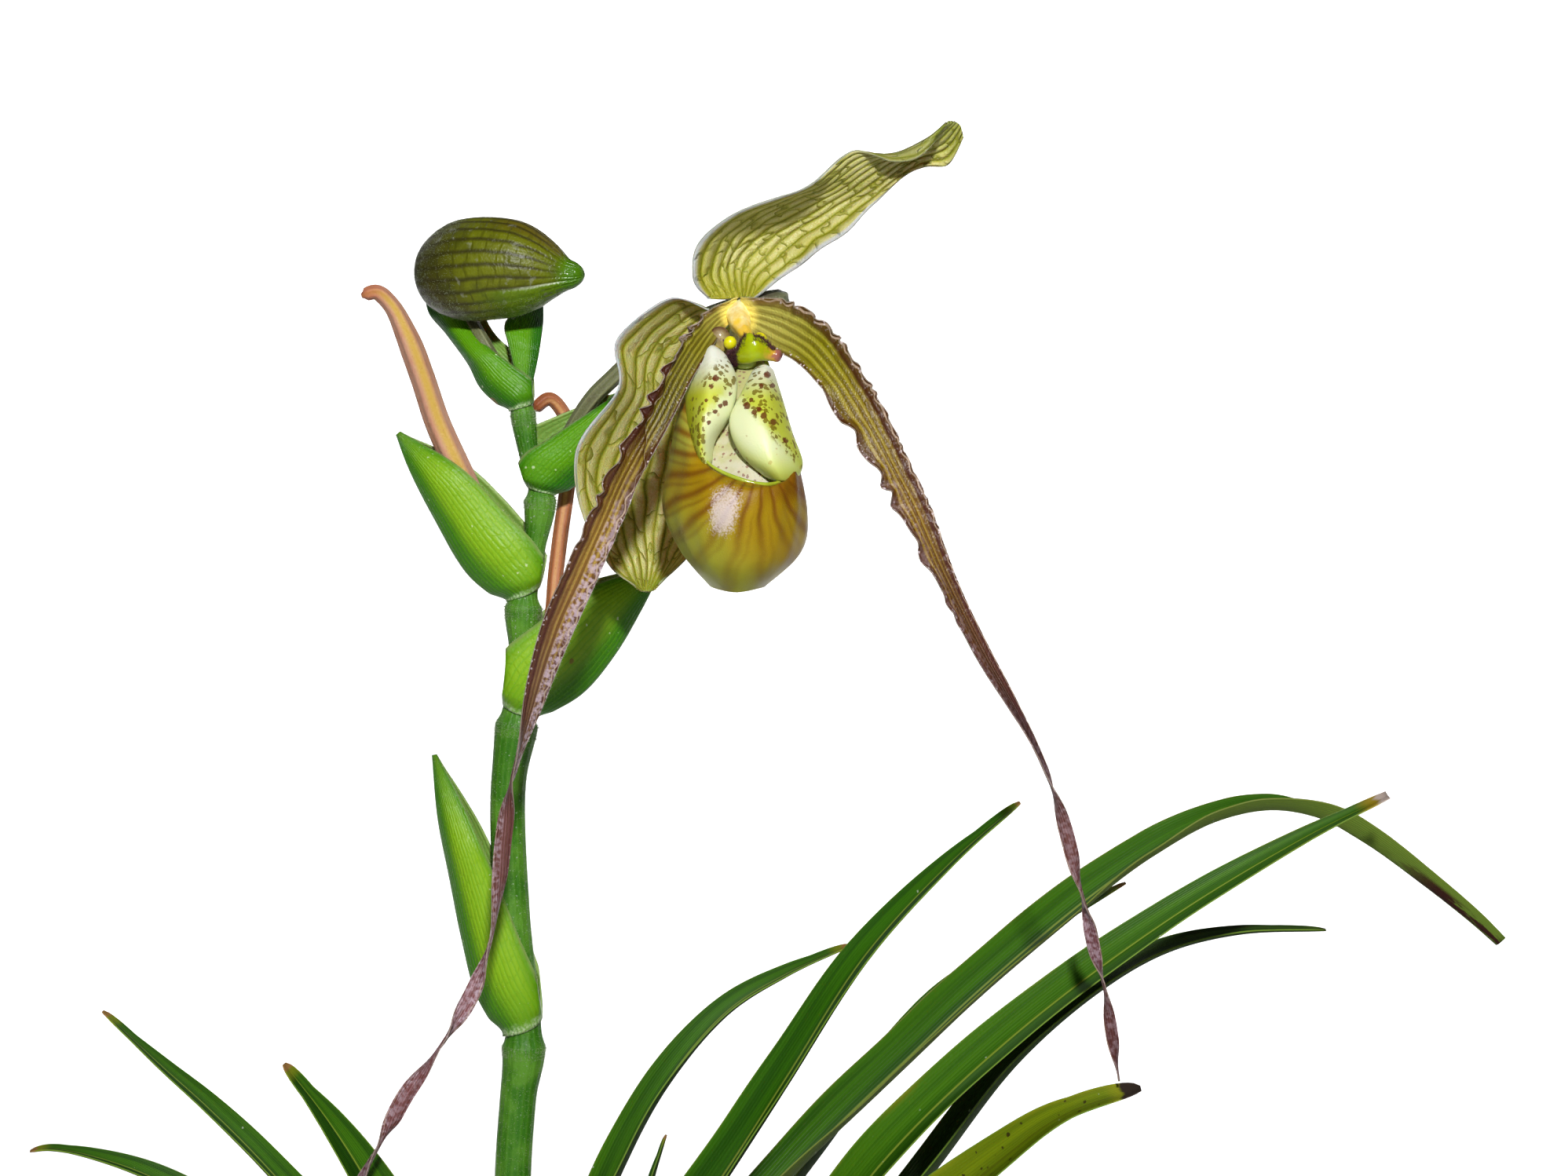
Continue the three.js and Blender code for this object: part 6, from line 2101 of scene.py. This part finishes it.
LOBE_LEFT = (
    ((-8, -9, -8.6), (-5.6, -13.5, -6.8), (-3.2, -12.5, -8.2), (-4, -7.5, -9)),
    ((-10.9, -14, -16.5), (-6, -23, -14.8), (0.2, -19, -15), (-2, -12, -16.4)),
    ((-10.9, -17, -24.5), (-6.8, -27.5, -23), (-0.6, -22, -22.6), (-3, -14.5, -24)),
    ((-9.6, -20, -30.6), (-7.6, -28.5, -30.4), (-4.4, -23.5, -29.4), (-5.5, -17, -30)),
    ((-7.6, -24, -35.4), (-6.4, -27.6, -35.4), (-5, -25.4, -34.6), (-5.4, -21, -34.8)),
)

LINER_CAGE = (
    ((-6, -9, -11), (-2, -8.5, -11.5), (2, -8.5, -11.5), (6, -9, -11)),
    ((-8, -13, -20), (-3, -15, -20), (2, -16.5, -20), (9, -15, -20)),
    ((-9, -18, -30), (-3, -21, -31), (3, -23.5, -31), (11.5, -21, -30)),
    ((-8, -23, -37), (-3, -27, -38.8), (4, -29, -40), (10.5, -25, -39)),
    ((-5, -26, -43), (-2, -30, -44), (4, -31, -44.5), (9, -27, -43.5)),
)


@dataclass
class Sepal:
    """Broad hooded sepal drawn by a cage, its veins standing in low relief."""

    node: str
    cage: Sequence
    finish: SepalFinish
    rows: int = 150
    columns: int = 77
    relief: float = 0.09

    def build(self) -> None:
        """Makes the sepal."""
        grid = cage_grid(self.cage, self.rows, self.columns) + FLOWER_CENTRE
        across, along = np.linspace(0, 1, self.columns + 1), np.linspace(0, 1, self.rows + 1)
        normals = grid_normals(grid, False)
        veins = np.cos(2 * math.pi * self.finish.count * across)[None] * smooth(along, 0.04, 0.2)[:, None]
        ripple = 0.25 * np.sin(along[:, None] * 34 + 6 * across[None]) * np.abs(2 * across[None] - 1) ** 4
        grid = grid + normals * (self.relief * veins + ripple)[..., None]
        form = Form(self.node + "_hood")
        form.add_blade(grid, 0.6 - 0.3 * np.abs(2 * across - 1) ** 3, across, along, faces_front(grid))
        form.make([self.finish], [self.node])


@dataclass
class Lip:
    """Slipper-shaped lip: a pouch, two infolded side lobes and the claw that carries them."""

    thickness: float = 0.9

    RIM: ClassVar[tuple] = ((-7, -25, -32.6), (-5.6, -28, -34.4), (-3.3, -30, -35.9), (0.2, -31.6, -37.4),
                            (4.2, -32, -38.6), (7.7, -31, -38.9), (11, -28, -38), (13.6, -24.5, -36.4))
    RIGHT_MARKS: ClassVar[tuple] = ((2.8, -21.5, 0.85), (4.4, -23, 0.6), (5.4, -22.2, 0.6), (6.6, -23.7, 0.7),
                                    (8.6, -25.2, 0.75), (7.2, -14.5, 0.8), (5.9, -17.1, 0.6), (8.4, -17, 0.6),
                                    (11.3, -29.3, 0.7), (3.7, -20.2, 0.45))
    LEFT_MARKS: ClassVar[tuple] = ((-4.2, -15.4, 0.75), (-5.2, -17.2, 0.6), (-2.1, -21, 0.7),
                                   (-3.2, -21.6, 0.5), (-4.3, -22.9, 0.5), (-5.7, -25.3, 0.45),
                                   (-1, -18.8, 0.4), (-6.3, -20.4, 0.4))

    def build(self) -> None:
        """Makes the lip as one piece of several finishes."""
        form = Form("lip_slipper")
        rings = cage_grid(POUCH_CAGE, 90, 136, closed=True) + FLOWER_CENTRE
        form.add_cup(self._puckered(rings), self.thickness)
        for number, cage in enumerate((LOBE_RIGHT, LOBE_LEFT), start=1):
            form.add_loft(self._rounded(cage_grid(cage, 60, 56, closed=True)) + FLOWER_CENTRE, number)
        claw = Spine([(-0.3, 1.4, -4), (-0.4, -1, -6.5), (-0.5, -3, -9.5)])
        form.add_loft(Tube(claw, 12, 20).grid(RibbedRadius(((0, 1.3), (1, 1.3)))) + FLOWER_CENTRE, 2)
        liner = cage_grid(LINER_CAGE, 40, 30) + FLOWER_CENTRE
        form.add_blade(liner, 0.5, np.linspace(0, 1, 31), np.linspace(0, 1, 41), finish=3)
        roll = RibbedRadius(((0, 0.3), (0.5, 0.5), (1, 0.3)))
        form.add_loft(Tube(Spine(self.RIM), 90, 16).grid(roll) + FLOWER_CENTRE, 4)
        form.make([
            PouchFinish(),
            LobeFinish("lobe_right_skin", (46.6, 384.4), (0.748, 0.667), 8.5, 398, 0, self.RIGHT_MARKS),
            LobeFinish("lobe_left_skin", (44.2, 387.6), (-0.777, 0.629), 6, 399, 38.9, self.LEFT_MARKS),
            ColumnFinish("liner_skin", srgb(180, 178, 118), srgb(204, 198, 176), srgb(132, 84, 78),
                         0.75, 0.4),
            ColumnFinish("rim_skin", srgb(168, 186, 60), srgb(150, 164, 40), srgb(210, 220, 120),
                         0.3, 0.12),
        ], ["lip"])

    @staticmethod
    def _puckered(rings: Array) -> Array:
        """The pouch with shallow flutes between its veins and a rolled rim.

        Args:
            rings: of the smooth pouch.

        Returns:
            The same rings, moved.
        """
        rows, count = rings.shape[:2]
        along = np.linspace(0, 1, rows)[:, None]
        around = np.arange(count)[None] / count
        flutes = 0.12 * np.cos(2 * math.pi * 17 * around) * smooth(along, 0.08, 0.3)
        flutes = flutes * smooth(-along, -0.9, -0.7)
        dents = 0.25 * np.sin(5 * along + 9 * around) * smooth(along, 0.1, 0.3)
        return rings + grid_normals(rings, True) * (flutes + 0.3 * dents)[..., None]

    @staticmethod
    def _rounded(grid: Array) -> Array:
        """A lobe whose ends draw in to blunt, rounded points.

        Args:
            grid: the lobe's rings.

        Returns:
            The same rings, drawn in.
        """
        along = np.linspace(0, 1, len(grid))[:, None, None]
        middle = grid.mean(axis=1, keepdims=True)
        draw = np.sqrt(np.clip(np.minimum(along, 1 - along) / 0.07, 0, 1))
        return middle + (grid - middle) * (0.25 + 0.75 * draw)


@dataclass
class Column:
    """Stalk, anthers, stigma and the two-horned shield with its dark fringe."""

    # Place along X, height, half height, place along Y and half depth of the shield's sections.
    shield: tuple = ((-1.9, -10.9, 0.4, -11.6, 0.4), (-1.5, -10.8, 1.3, -12, 1.2),
                     (-0.3, -10.6, 1.6, -12.6, 1.4), (0.7, -10, 1.9, -13, 1.4), (1.8, -8.9, 3.1, -13.4, 1.6),
                     (3.4, -8.4, 3.5, -13.8, 1.9), (5.2, -8.5, 2.9, -13.8, 1.9), (7, -9.1, 2.2, -13.3, 1.5),
                     (8.4, -9.9, 1.5, -12.8, 1.3), (9.4, -10.1, 1.5, -12.6, 1.5),
                     (10.2, -10, 1.2, -12.4, 1.2), (10.7, -9.9, 0.3, -12.3, 0.3))
    # Centre, half sizes and finish of each rounded body: anthers, wing and stigma.
    balls: tuple = (((-1.2, -11.2, -7.2), (1.5, 1.5, 1.6), 2), ((-3.7, -9.6, -6.4), (2.6, 1.5, 3), 3),
                    ((5.4, -9.2, -6.6), (1.8, 1.6, 1.9), 2), ((2.2, -9.6, -11.6), (2.6, 2.4, 1.7), 4))

    def build(self) -> None:
        """Makes the column as one piece of several finishes, and its fringe."""
        form = Form("column_flesh")
        stalk = Spine([(1.5, 5.6, 1.1), (0.6, 1, 0.2), (0.6, -3, -1.6), (1.6, -7, -4.2), (3, -11.4, -6.4)])
        rule = RibbedRadius(((0, 2.35), (0.3, 2.9), (0.55, 2.5), (0.75, 1.7), (1, 1.2)), 5, 0.06)
        form.add_loft(Tube(stalk, 50, 36).grid(rule) + FLOWER_CENTRE)
        shield = self._shield()
        form.add_loft(shield, 1)
        for place, half, finish in self.balls:
            form.add_loft(self._ball(place, half), finish)
        form.make([
            ColumnFinish("column_glow", srgb(250, 244, 196), srgb(238, 196, 60), srgb(226, 150, 50), 0.15),
            ShieldFinish(),
            ColumnFinish("anther_skin", srgb(224, 220, 20), srgb(206, 196, 12), srgb(150, 120, 20), 0.2),
            ColumnFinish("wing_skin", srgb(92, 58, 44), srgb(176, 160, 84), srgb(64, 30, 26), 0.95, 0.5),
            ColumnFinish("stigma_skin", srgb(186, 200, 110), srgb(170, 190, 90), srgb(150, 160, 70), 0.2),
        ], ["column"])
        self._fringe(shield)

    @staticmethod
    def _ball(place: Point, half: Point) -> Array:
        """Rings of an ellipsoid, from its top down.

        Args:
            place: its centre, from the flower's.
            half: its half sizes.

        Returns:
            Points by ring and side.
        """
        polar = np.linspace(0.06, math.pi - 0.06, 24)[:, None]
        turns = 2 * math.pi * np.arange(32) / 32
        rings = [np.sin(polar) * np.cos(turns), np.sin(polar) * np.sin(turns), np.cos(polar) + 0 * turns]
        return np.stack(rings, axis=-1) * half + place + FLOWER_CENTRE

    def _shield(self) -> Array:
        """Rings of the shield, from its left horn to its right one.

        Returns:
            Points by ring and side.
        """
        sections = resample(np.array(self.shield, float), 70)
        turns = 2 * math.pi * np.arange(48) / 48
        x, height, half, depth, thick = sections.T[..., None]
        notch = 0.5 * np.exp(-(((x - 4.4) / 0.7) ** 2)) * smooth(np.sin(turns), 0.5, 1)
        rings = [x + 0 * turns, depth + thick * np.cos(turns), height + half * np.sin(turns) - notch]
        return np.stack(rings, axis=-1) + FLOWER_CENTRE

    def _fringe(self, shield: Array) -> None:
        """Makes the dark hairs on the left horn and along the shield's top.

        Args:
            shield: the shield's rings.
        """
        away = outward(shield)
        x = (shield - FLOWER_CENTRE)[..., 0]
        horn = (x < 0.4) | ((x < 2.2) & (away[..., 2] > 0.3))
        chosen = horn | ((away[..., 2] > 0.6) & ((x < 2.6) | (x > 4.2)) & (x < 8.8))
        coat = Down(3000, 1.1, 0.1, 0.35, 3).on(shield[chosen], away[chosen])
        down_piece("column_fringe", [coat], FRINGE_FINISH)


# ---------------------------------------------------------------- pot and bark

@dataclass
class Pot:
    """Thrown clay pot with a rim band and drain holes."""

    height: float = 115
    base: float = 47
    shoulder: float = 61
    rim: float = 68
    rim_height: float = 24
    wall: float = 5
    floor: float = 6
    edge: float = 2
    drain_holes: int = 3
    drain_radius: float = 4.5
    drain_circle: float = 22
    sides: int = 128

    def profile(self) -> Array:
        """Radius and height of the pot's section, from the middle of its foot to that of its floor.

        Returns:
            Pairs of radius and height.
        """
        base, shoulder, rim, top, floor, edge = (
            self.base, self.shoulder, self.rim, self.height, self.floor, self.edge)
        band = top - self.rim_height
        slope = (shoulder - base) / band
        inner = base + slope * floor - self.wall
        knots = [
            (base - edge, 0), (base - 0.5 * edge, 0.3), (base, edge), (base + slope * band * 0.5, band * 0.5),
            (shoulder, band - 0.4), (shoulder + 0.6, band), (rim - 1.5 * edge, band + 0.4 * edge),
            (rim - 0.5 * edge, band + 1.3 * edge), (rim - 0.1, band + 2.4 * edge), (rim, top - 1.6 * edge),
            (rim - 0.5 * edge, top - 0.4 * edge), (rim - edge, top - 0.05), (rim - 2 * edge, top - 0.05),
            (rim - 3 * edge, top - edge), (shoulder - self.wall, band - 2 * edge),
            (inner + 2, floor + 6), (inner - 2, floor), (2, floor),
        ]
        section = Spine([(radius, 0, height) for radius, height in knots], 10).line[:, [0, 2]]
        return np.vstack([(2, 0), np.clip(section, 0, (rim, top))])

    def build(self) -> None:
        """Makes the pot."""
        section = self.profile()
        turns = 2 * math.pi * np.arange(self.sides) / self.sides
        radii = section[:, :1] * (1 - 0.0015 * (1 + np.sin(2 * turns + 0.6)))
        form = Form("pot_clay")
        heights = section[:, 1:] + 0 * turns
        form.add_loft(np.stack([radii * np.cos(turns), radii * np.sin(turns), heights], axis=-1))
        self._drill(form.make([ClayFinish()], ["pot"]))

    def _drill(self, pot: bpy.types.Object) -> None:
        """Cuts the drain holes through the pot's floor.

        Args:
            pot: what is drilled.
        """
        drill = Form("pot_drill")
        width = RibbedRadius(((0, self.drain_radius), (1, self.drain_radius)))
        for k in range(self.drain_holes):
            angle = 2 * math.pi * (k + 0.5) / self.drain_holes
            centre = np.array([math.cos(angle), math.sin(angle), 0]) * self.drain_circle
            line = Spine([centre + (0, 0, -self.floor), centre + (0, 0, 2 * self.floor)])
            drill.add_loft(Tube(line, 3, 32).grid(width))
        cutter = drill.make([ClayFinish()])
        cut = pot.modifiers.new("drain_holes", "BOOLEAN")
        cut.operation, cut.solver, cut.object = "DIFFERENCE", "EXACT", cutter
        scene_state = bpy.context.evaluated_depsgraph_get()
        drilled = bpy.data.meshes.new_from_object(pot.evaluated_get(scene_state))
        pot.modifiers.clear()
        pot.data = drilled
        bpy.data.objects.remove(cutter)


@dataclass
class PottingMix:
    """Mound of bark with loose chips on top, open round each fan."""

    top: float = 99
    foot: float = 6.35
    foot_radius: float = 42.3
    ledge: float = 87
    ledge_radius: float = 54.9
    layers: tuple[tuple[int, float, float], ...] = ((150, 97.0, 1.0), (130, 99.5, 0.9), (70, 101.5, 0.7))
    chip: tuple[float, float, float] = (8.5, 5.5, 2.4)
    holes: tuple = ((-4, 0, 19.5), (15, 36, 14), (-27, -25, 11))
    seed: int = 7

    def build(self) -> None:
        """Makes the mound and its chips as one piece."""
        form = Form("potting_mix_bark")
        rim, top = self.ledge_radius, self.top
        section = [(1, self.foot), (self.foot_radius, self.foot), (rim, self.ledge), (rim - 1, top - 6),
                   (rim - 12, top - 5), (1, top - 5)]
        turns = 2 * math.pi * np.arange(96) / 96
        form.add_loft(np.array([[(r * math.cos(a), r * math.sin(a), z) for a in turns] for r, z in section]))
        random = np.random.default_rng(self.seed)
        for count, height, size in self.layers:
            for k in range(count):
                reach = (self.ledge_radius - 6) * math.sqrt((k + 0.5) / count)
                angle = k * math.pi * (3 - math.sqrt(5)) + size * 9
                middle = (reach * math.cos(angle), reach * math.sin(angle), height)
                place = random.normal(middle, (1.2, 1.2, 0.5))
                half = np.array(self.chip) * size * random.uniform(0.55, 1.15, 3)
                if not self._in_hole(place, half[0] * 0.8):
                    form.add_loft(self._chip(random, place, half), own=random.random())
        form.make([BarkFinish()], ["potting_mix"])

    def _in_hole(self, place: Array, reach: float) -> bool:
        """Whether a chip would lie in a fan of leaves."""
        return any(math.hypot(place[0] - x, place[1] - y) < hole * 0.82 + reach for x, y, hole in self.holes)

    @staticmethod
    def _chip(random: np.random.Generator, place: Array, half: Array) -> Array:
        """Rings of one blunt, flat chip with a broken outline.

        Args:
            random: source of its irregularities.
            place: its centre.
            half: its half sizes.

        Returns:
            Points by ring and side.
        """
        polar = np.linspace(0.12, math.pi - 0.12, 9)[:, None]
        turns = 2 * math.pi * np.arange(14) / 14
        outline = 1 + 0.16 * np.cos(3 * turns + random.uniform(0, 6)) + random.uniform(-0.12, 0.12, 14)
        flat = np.sign(np.cos(polar)) * np.abs(np.cos(polar)) ** 0.5
        reach = np.sin(polar) ** 0.45
        parts = [reach * np.cos(turns) * outline, reach * np.sin(turns) * outline, flat + 0 * turns]
        chip = np.stack(parts, axis=-1)
        chip = chip * half * (1 + random.uniform(-0.06, 0.06, chip.shape))
        spin, tilt = random.uniform(0, 2 * math.pi), random.uniform(-0.4, 0.4)
        turned = Matrix.Rotation(spin, 3, "Z") @ Matrix.Rotation(tilt, 3, "X")
        return chip @ np.array(turned).T + place


# ---------------------------------------------------------------- studio

@dataclass
class Studio:
    """Camera, paper sweep and lights."""

    # Name, place, side in metres, power in watts and aim of each square lamp.
    LAMPS: ClassVar[tuple] = (
        ("key", (120, -960, 810), 0.07, 13, (40, -20, 350)),
        ("fill", (-500, -1100, 400), 1, 0.6, (40, 0, 300)),
        ("paper_left", (-1000, 1000, 1300), 1.2, 62, (0, 2600, 500)),
        ("paper_right", (1000, 1000, 1300), 1.2, 62, (0, 2600, 500)),
    )

    focus: Point = (56, 0, 341)
    distance: float = 700
    elevation: float = 3
    lens: float = 66.4
    sensor: float = 36
    sweep: float = 2600
    world: float = 0.03

    def build(self) -> None:
        """Sets the studio up."""
        self._camera()
        self._paper()
        self._lights()

    def _camera(self) -> None:
        """Places the camera in front of the flower, looking slightly down."""
        camera = bpy.data.objects.new("camera", bpy.data.cameras.new("camera"))
        camera.data.lens = self.lens
        camera.data.sensor_width = self.sensor
        tilt = math.radians(self.elevation)
        back = Vector((0, -math.cos(tilt), math.sin(tilt)))
        camera.data.clip_start = 0.02
        self._hang(camera, Vector(self.focus) + back * self.distance, -back)
        bpy.context.scene.camera = camera

    def _paper(self) -> None:
        """Makes a floor that sweeps up behind the plant."""
        bend, rise, half = 900, 1500, 1500
        corner = self.sweep - bend
        bows = np.linspace(0, math.pi / 2, 24)
        arc = [(corner + bend * math.sin(bow), bend - bend * math.cos(bow)) for bow in bows]
        line = [(-self.sweep, 0), *arc, (self.sweep, rise)]
        points = [(side * half * MM, y * MM, z * MM) for side in (-1, 1) for y, z in line]
        count = len(line)
        faces = [(k, k + count, k + count + 1, k + 1) for k in range(count - 1)]
        mesh = bpy.data.meshes.new("paper_sweep")
        mesh.from_pydata(points, [], faces)
        mesh.shade_smooth()
        mesh.materials.append(PaperFinish().material())
        paper = bpy.data.objects.new("paper_sweep", mesh)
        bpy.context.scene.collection.objects.link(paper)

    def _lights(self) -> None:
        """Hangs a key lamp above the camera, a faint broad fill and two lamps for the paper."""
        for name, place, size, power, aim in self.LAMPS:
            light = bpy.data.lights.new(name, "AREA")
            light.size = size
            light.energy = power
            self._hang(bpy.data.objects.new(name, light), Vector(place), Vector(aim) - Vector(place))
        world = bpy.data.worlds.new("studio")
        world.use_nodes = True
        background = world.node_tree.nodes["Background"]
        background.inputs["Color"].default_value = (1, 1, 1, 1)
        background.inputs["Strength"].default_value = self.world
        bpy.context.scene.world = world
        bpy.context.scene.view_settings.view_transform = "Standard"

    @staticmethod
    def _hang(thing: bpy.types.Object, place: Vector, heading: Vector) -> None:
        """Hangs a lamp or camera at a place so that it looks along a heading.

        Args:
            thing: lamp or camera.
            place: in millimetres.
            heading: where it looks.
        """
        thing.location = place * MM
        thing.rotation_mode = "QUATERNION"
        thing.rotation_quaternion = heading.to_track_quat("-Z", "Y")
        bpy.context.scene.collection.objects.link(thing)


# ---------------------------------------------------------------- assembly

def main() -> None:
    """Builds the plant, its pot and the studio, piece by piece."""
    logging.basicConfig(level=logging.INFO, format="%(name)s: %(message)s")
    for leaf in LEAVES:
        leaf.build()
    FlowerStem().build()
    down_piece("bract_down", [coat for bract in BRACTS for coat in bract.build()])
    down_piece("ovary_down", [ovary.build() for ovary in OVARIES])
    Bud().build()
    down_piece("petal_down", [petal.build() for petal in PETALS])
    Sepal("dorsal_sepal", DORSAL_CAGE, SepalFinish(rows=11)).build()
    Sepal("synsepal", SYNSEPAL_CAGE, SepalFinish("synsepal_skin", 12, 9, glow=0.3)).build()
    for part in (Lip, Column, Pot, PottingMix, Studio):
        part().build()


if __name__ == "__main__":
    main()
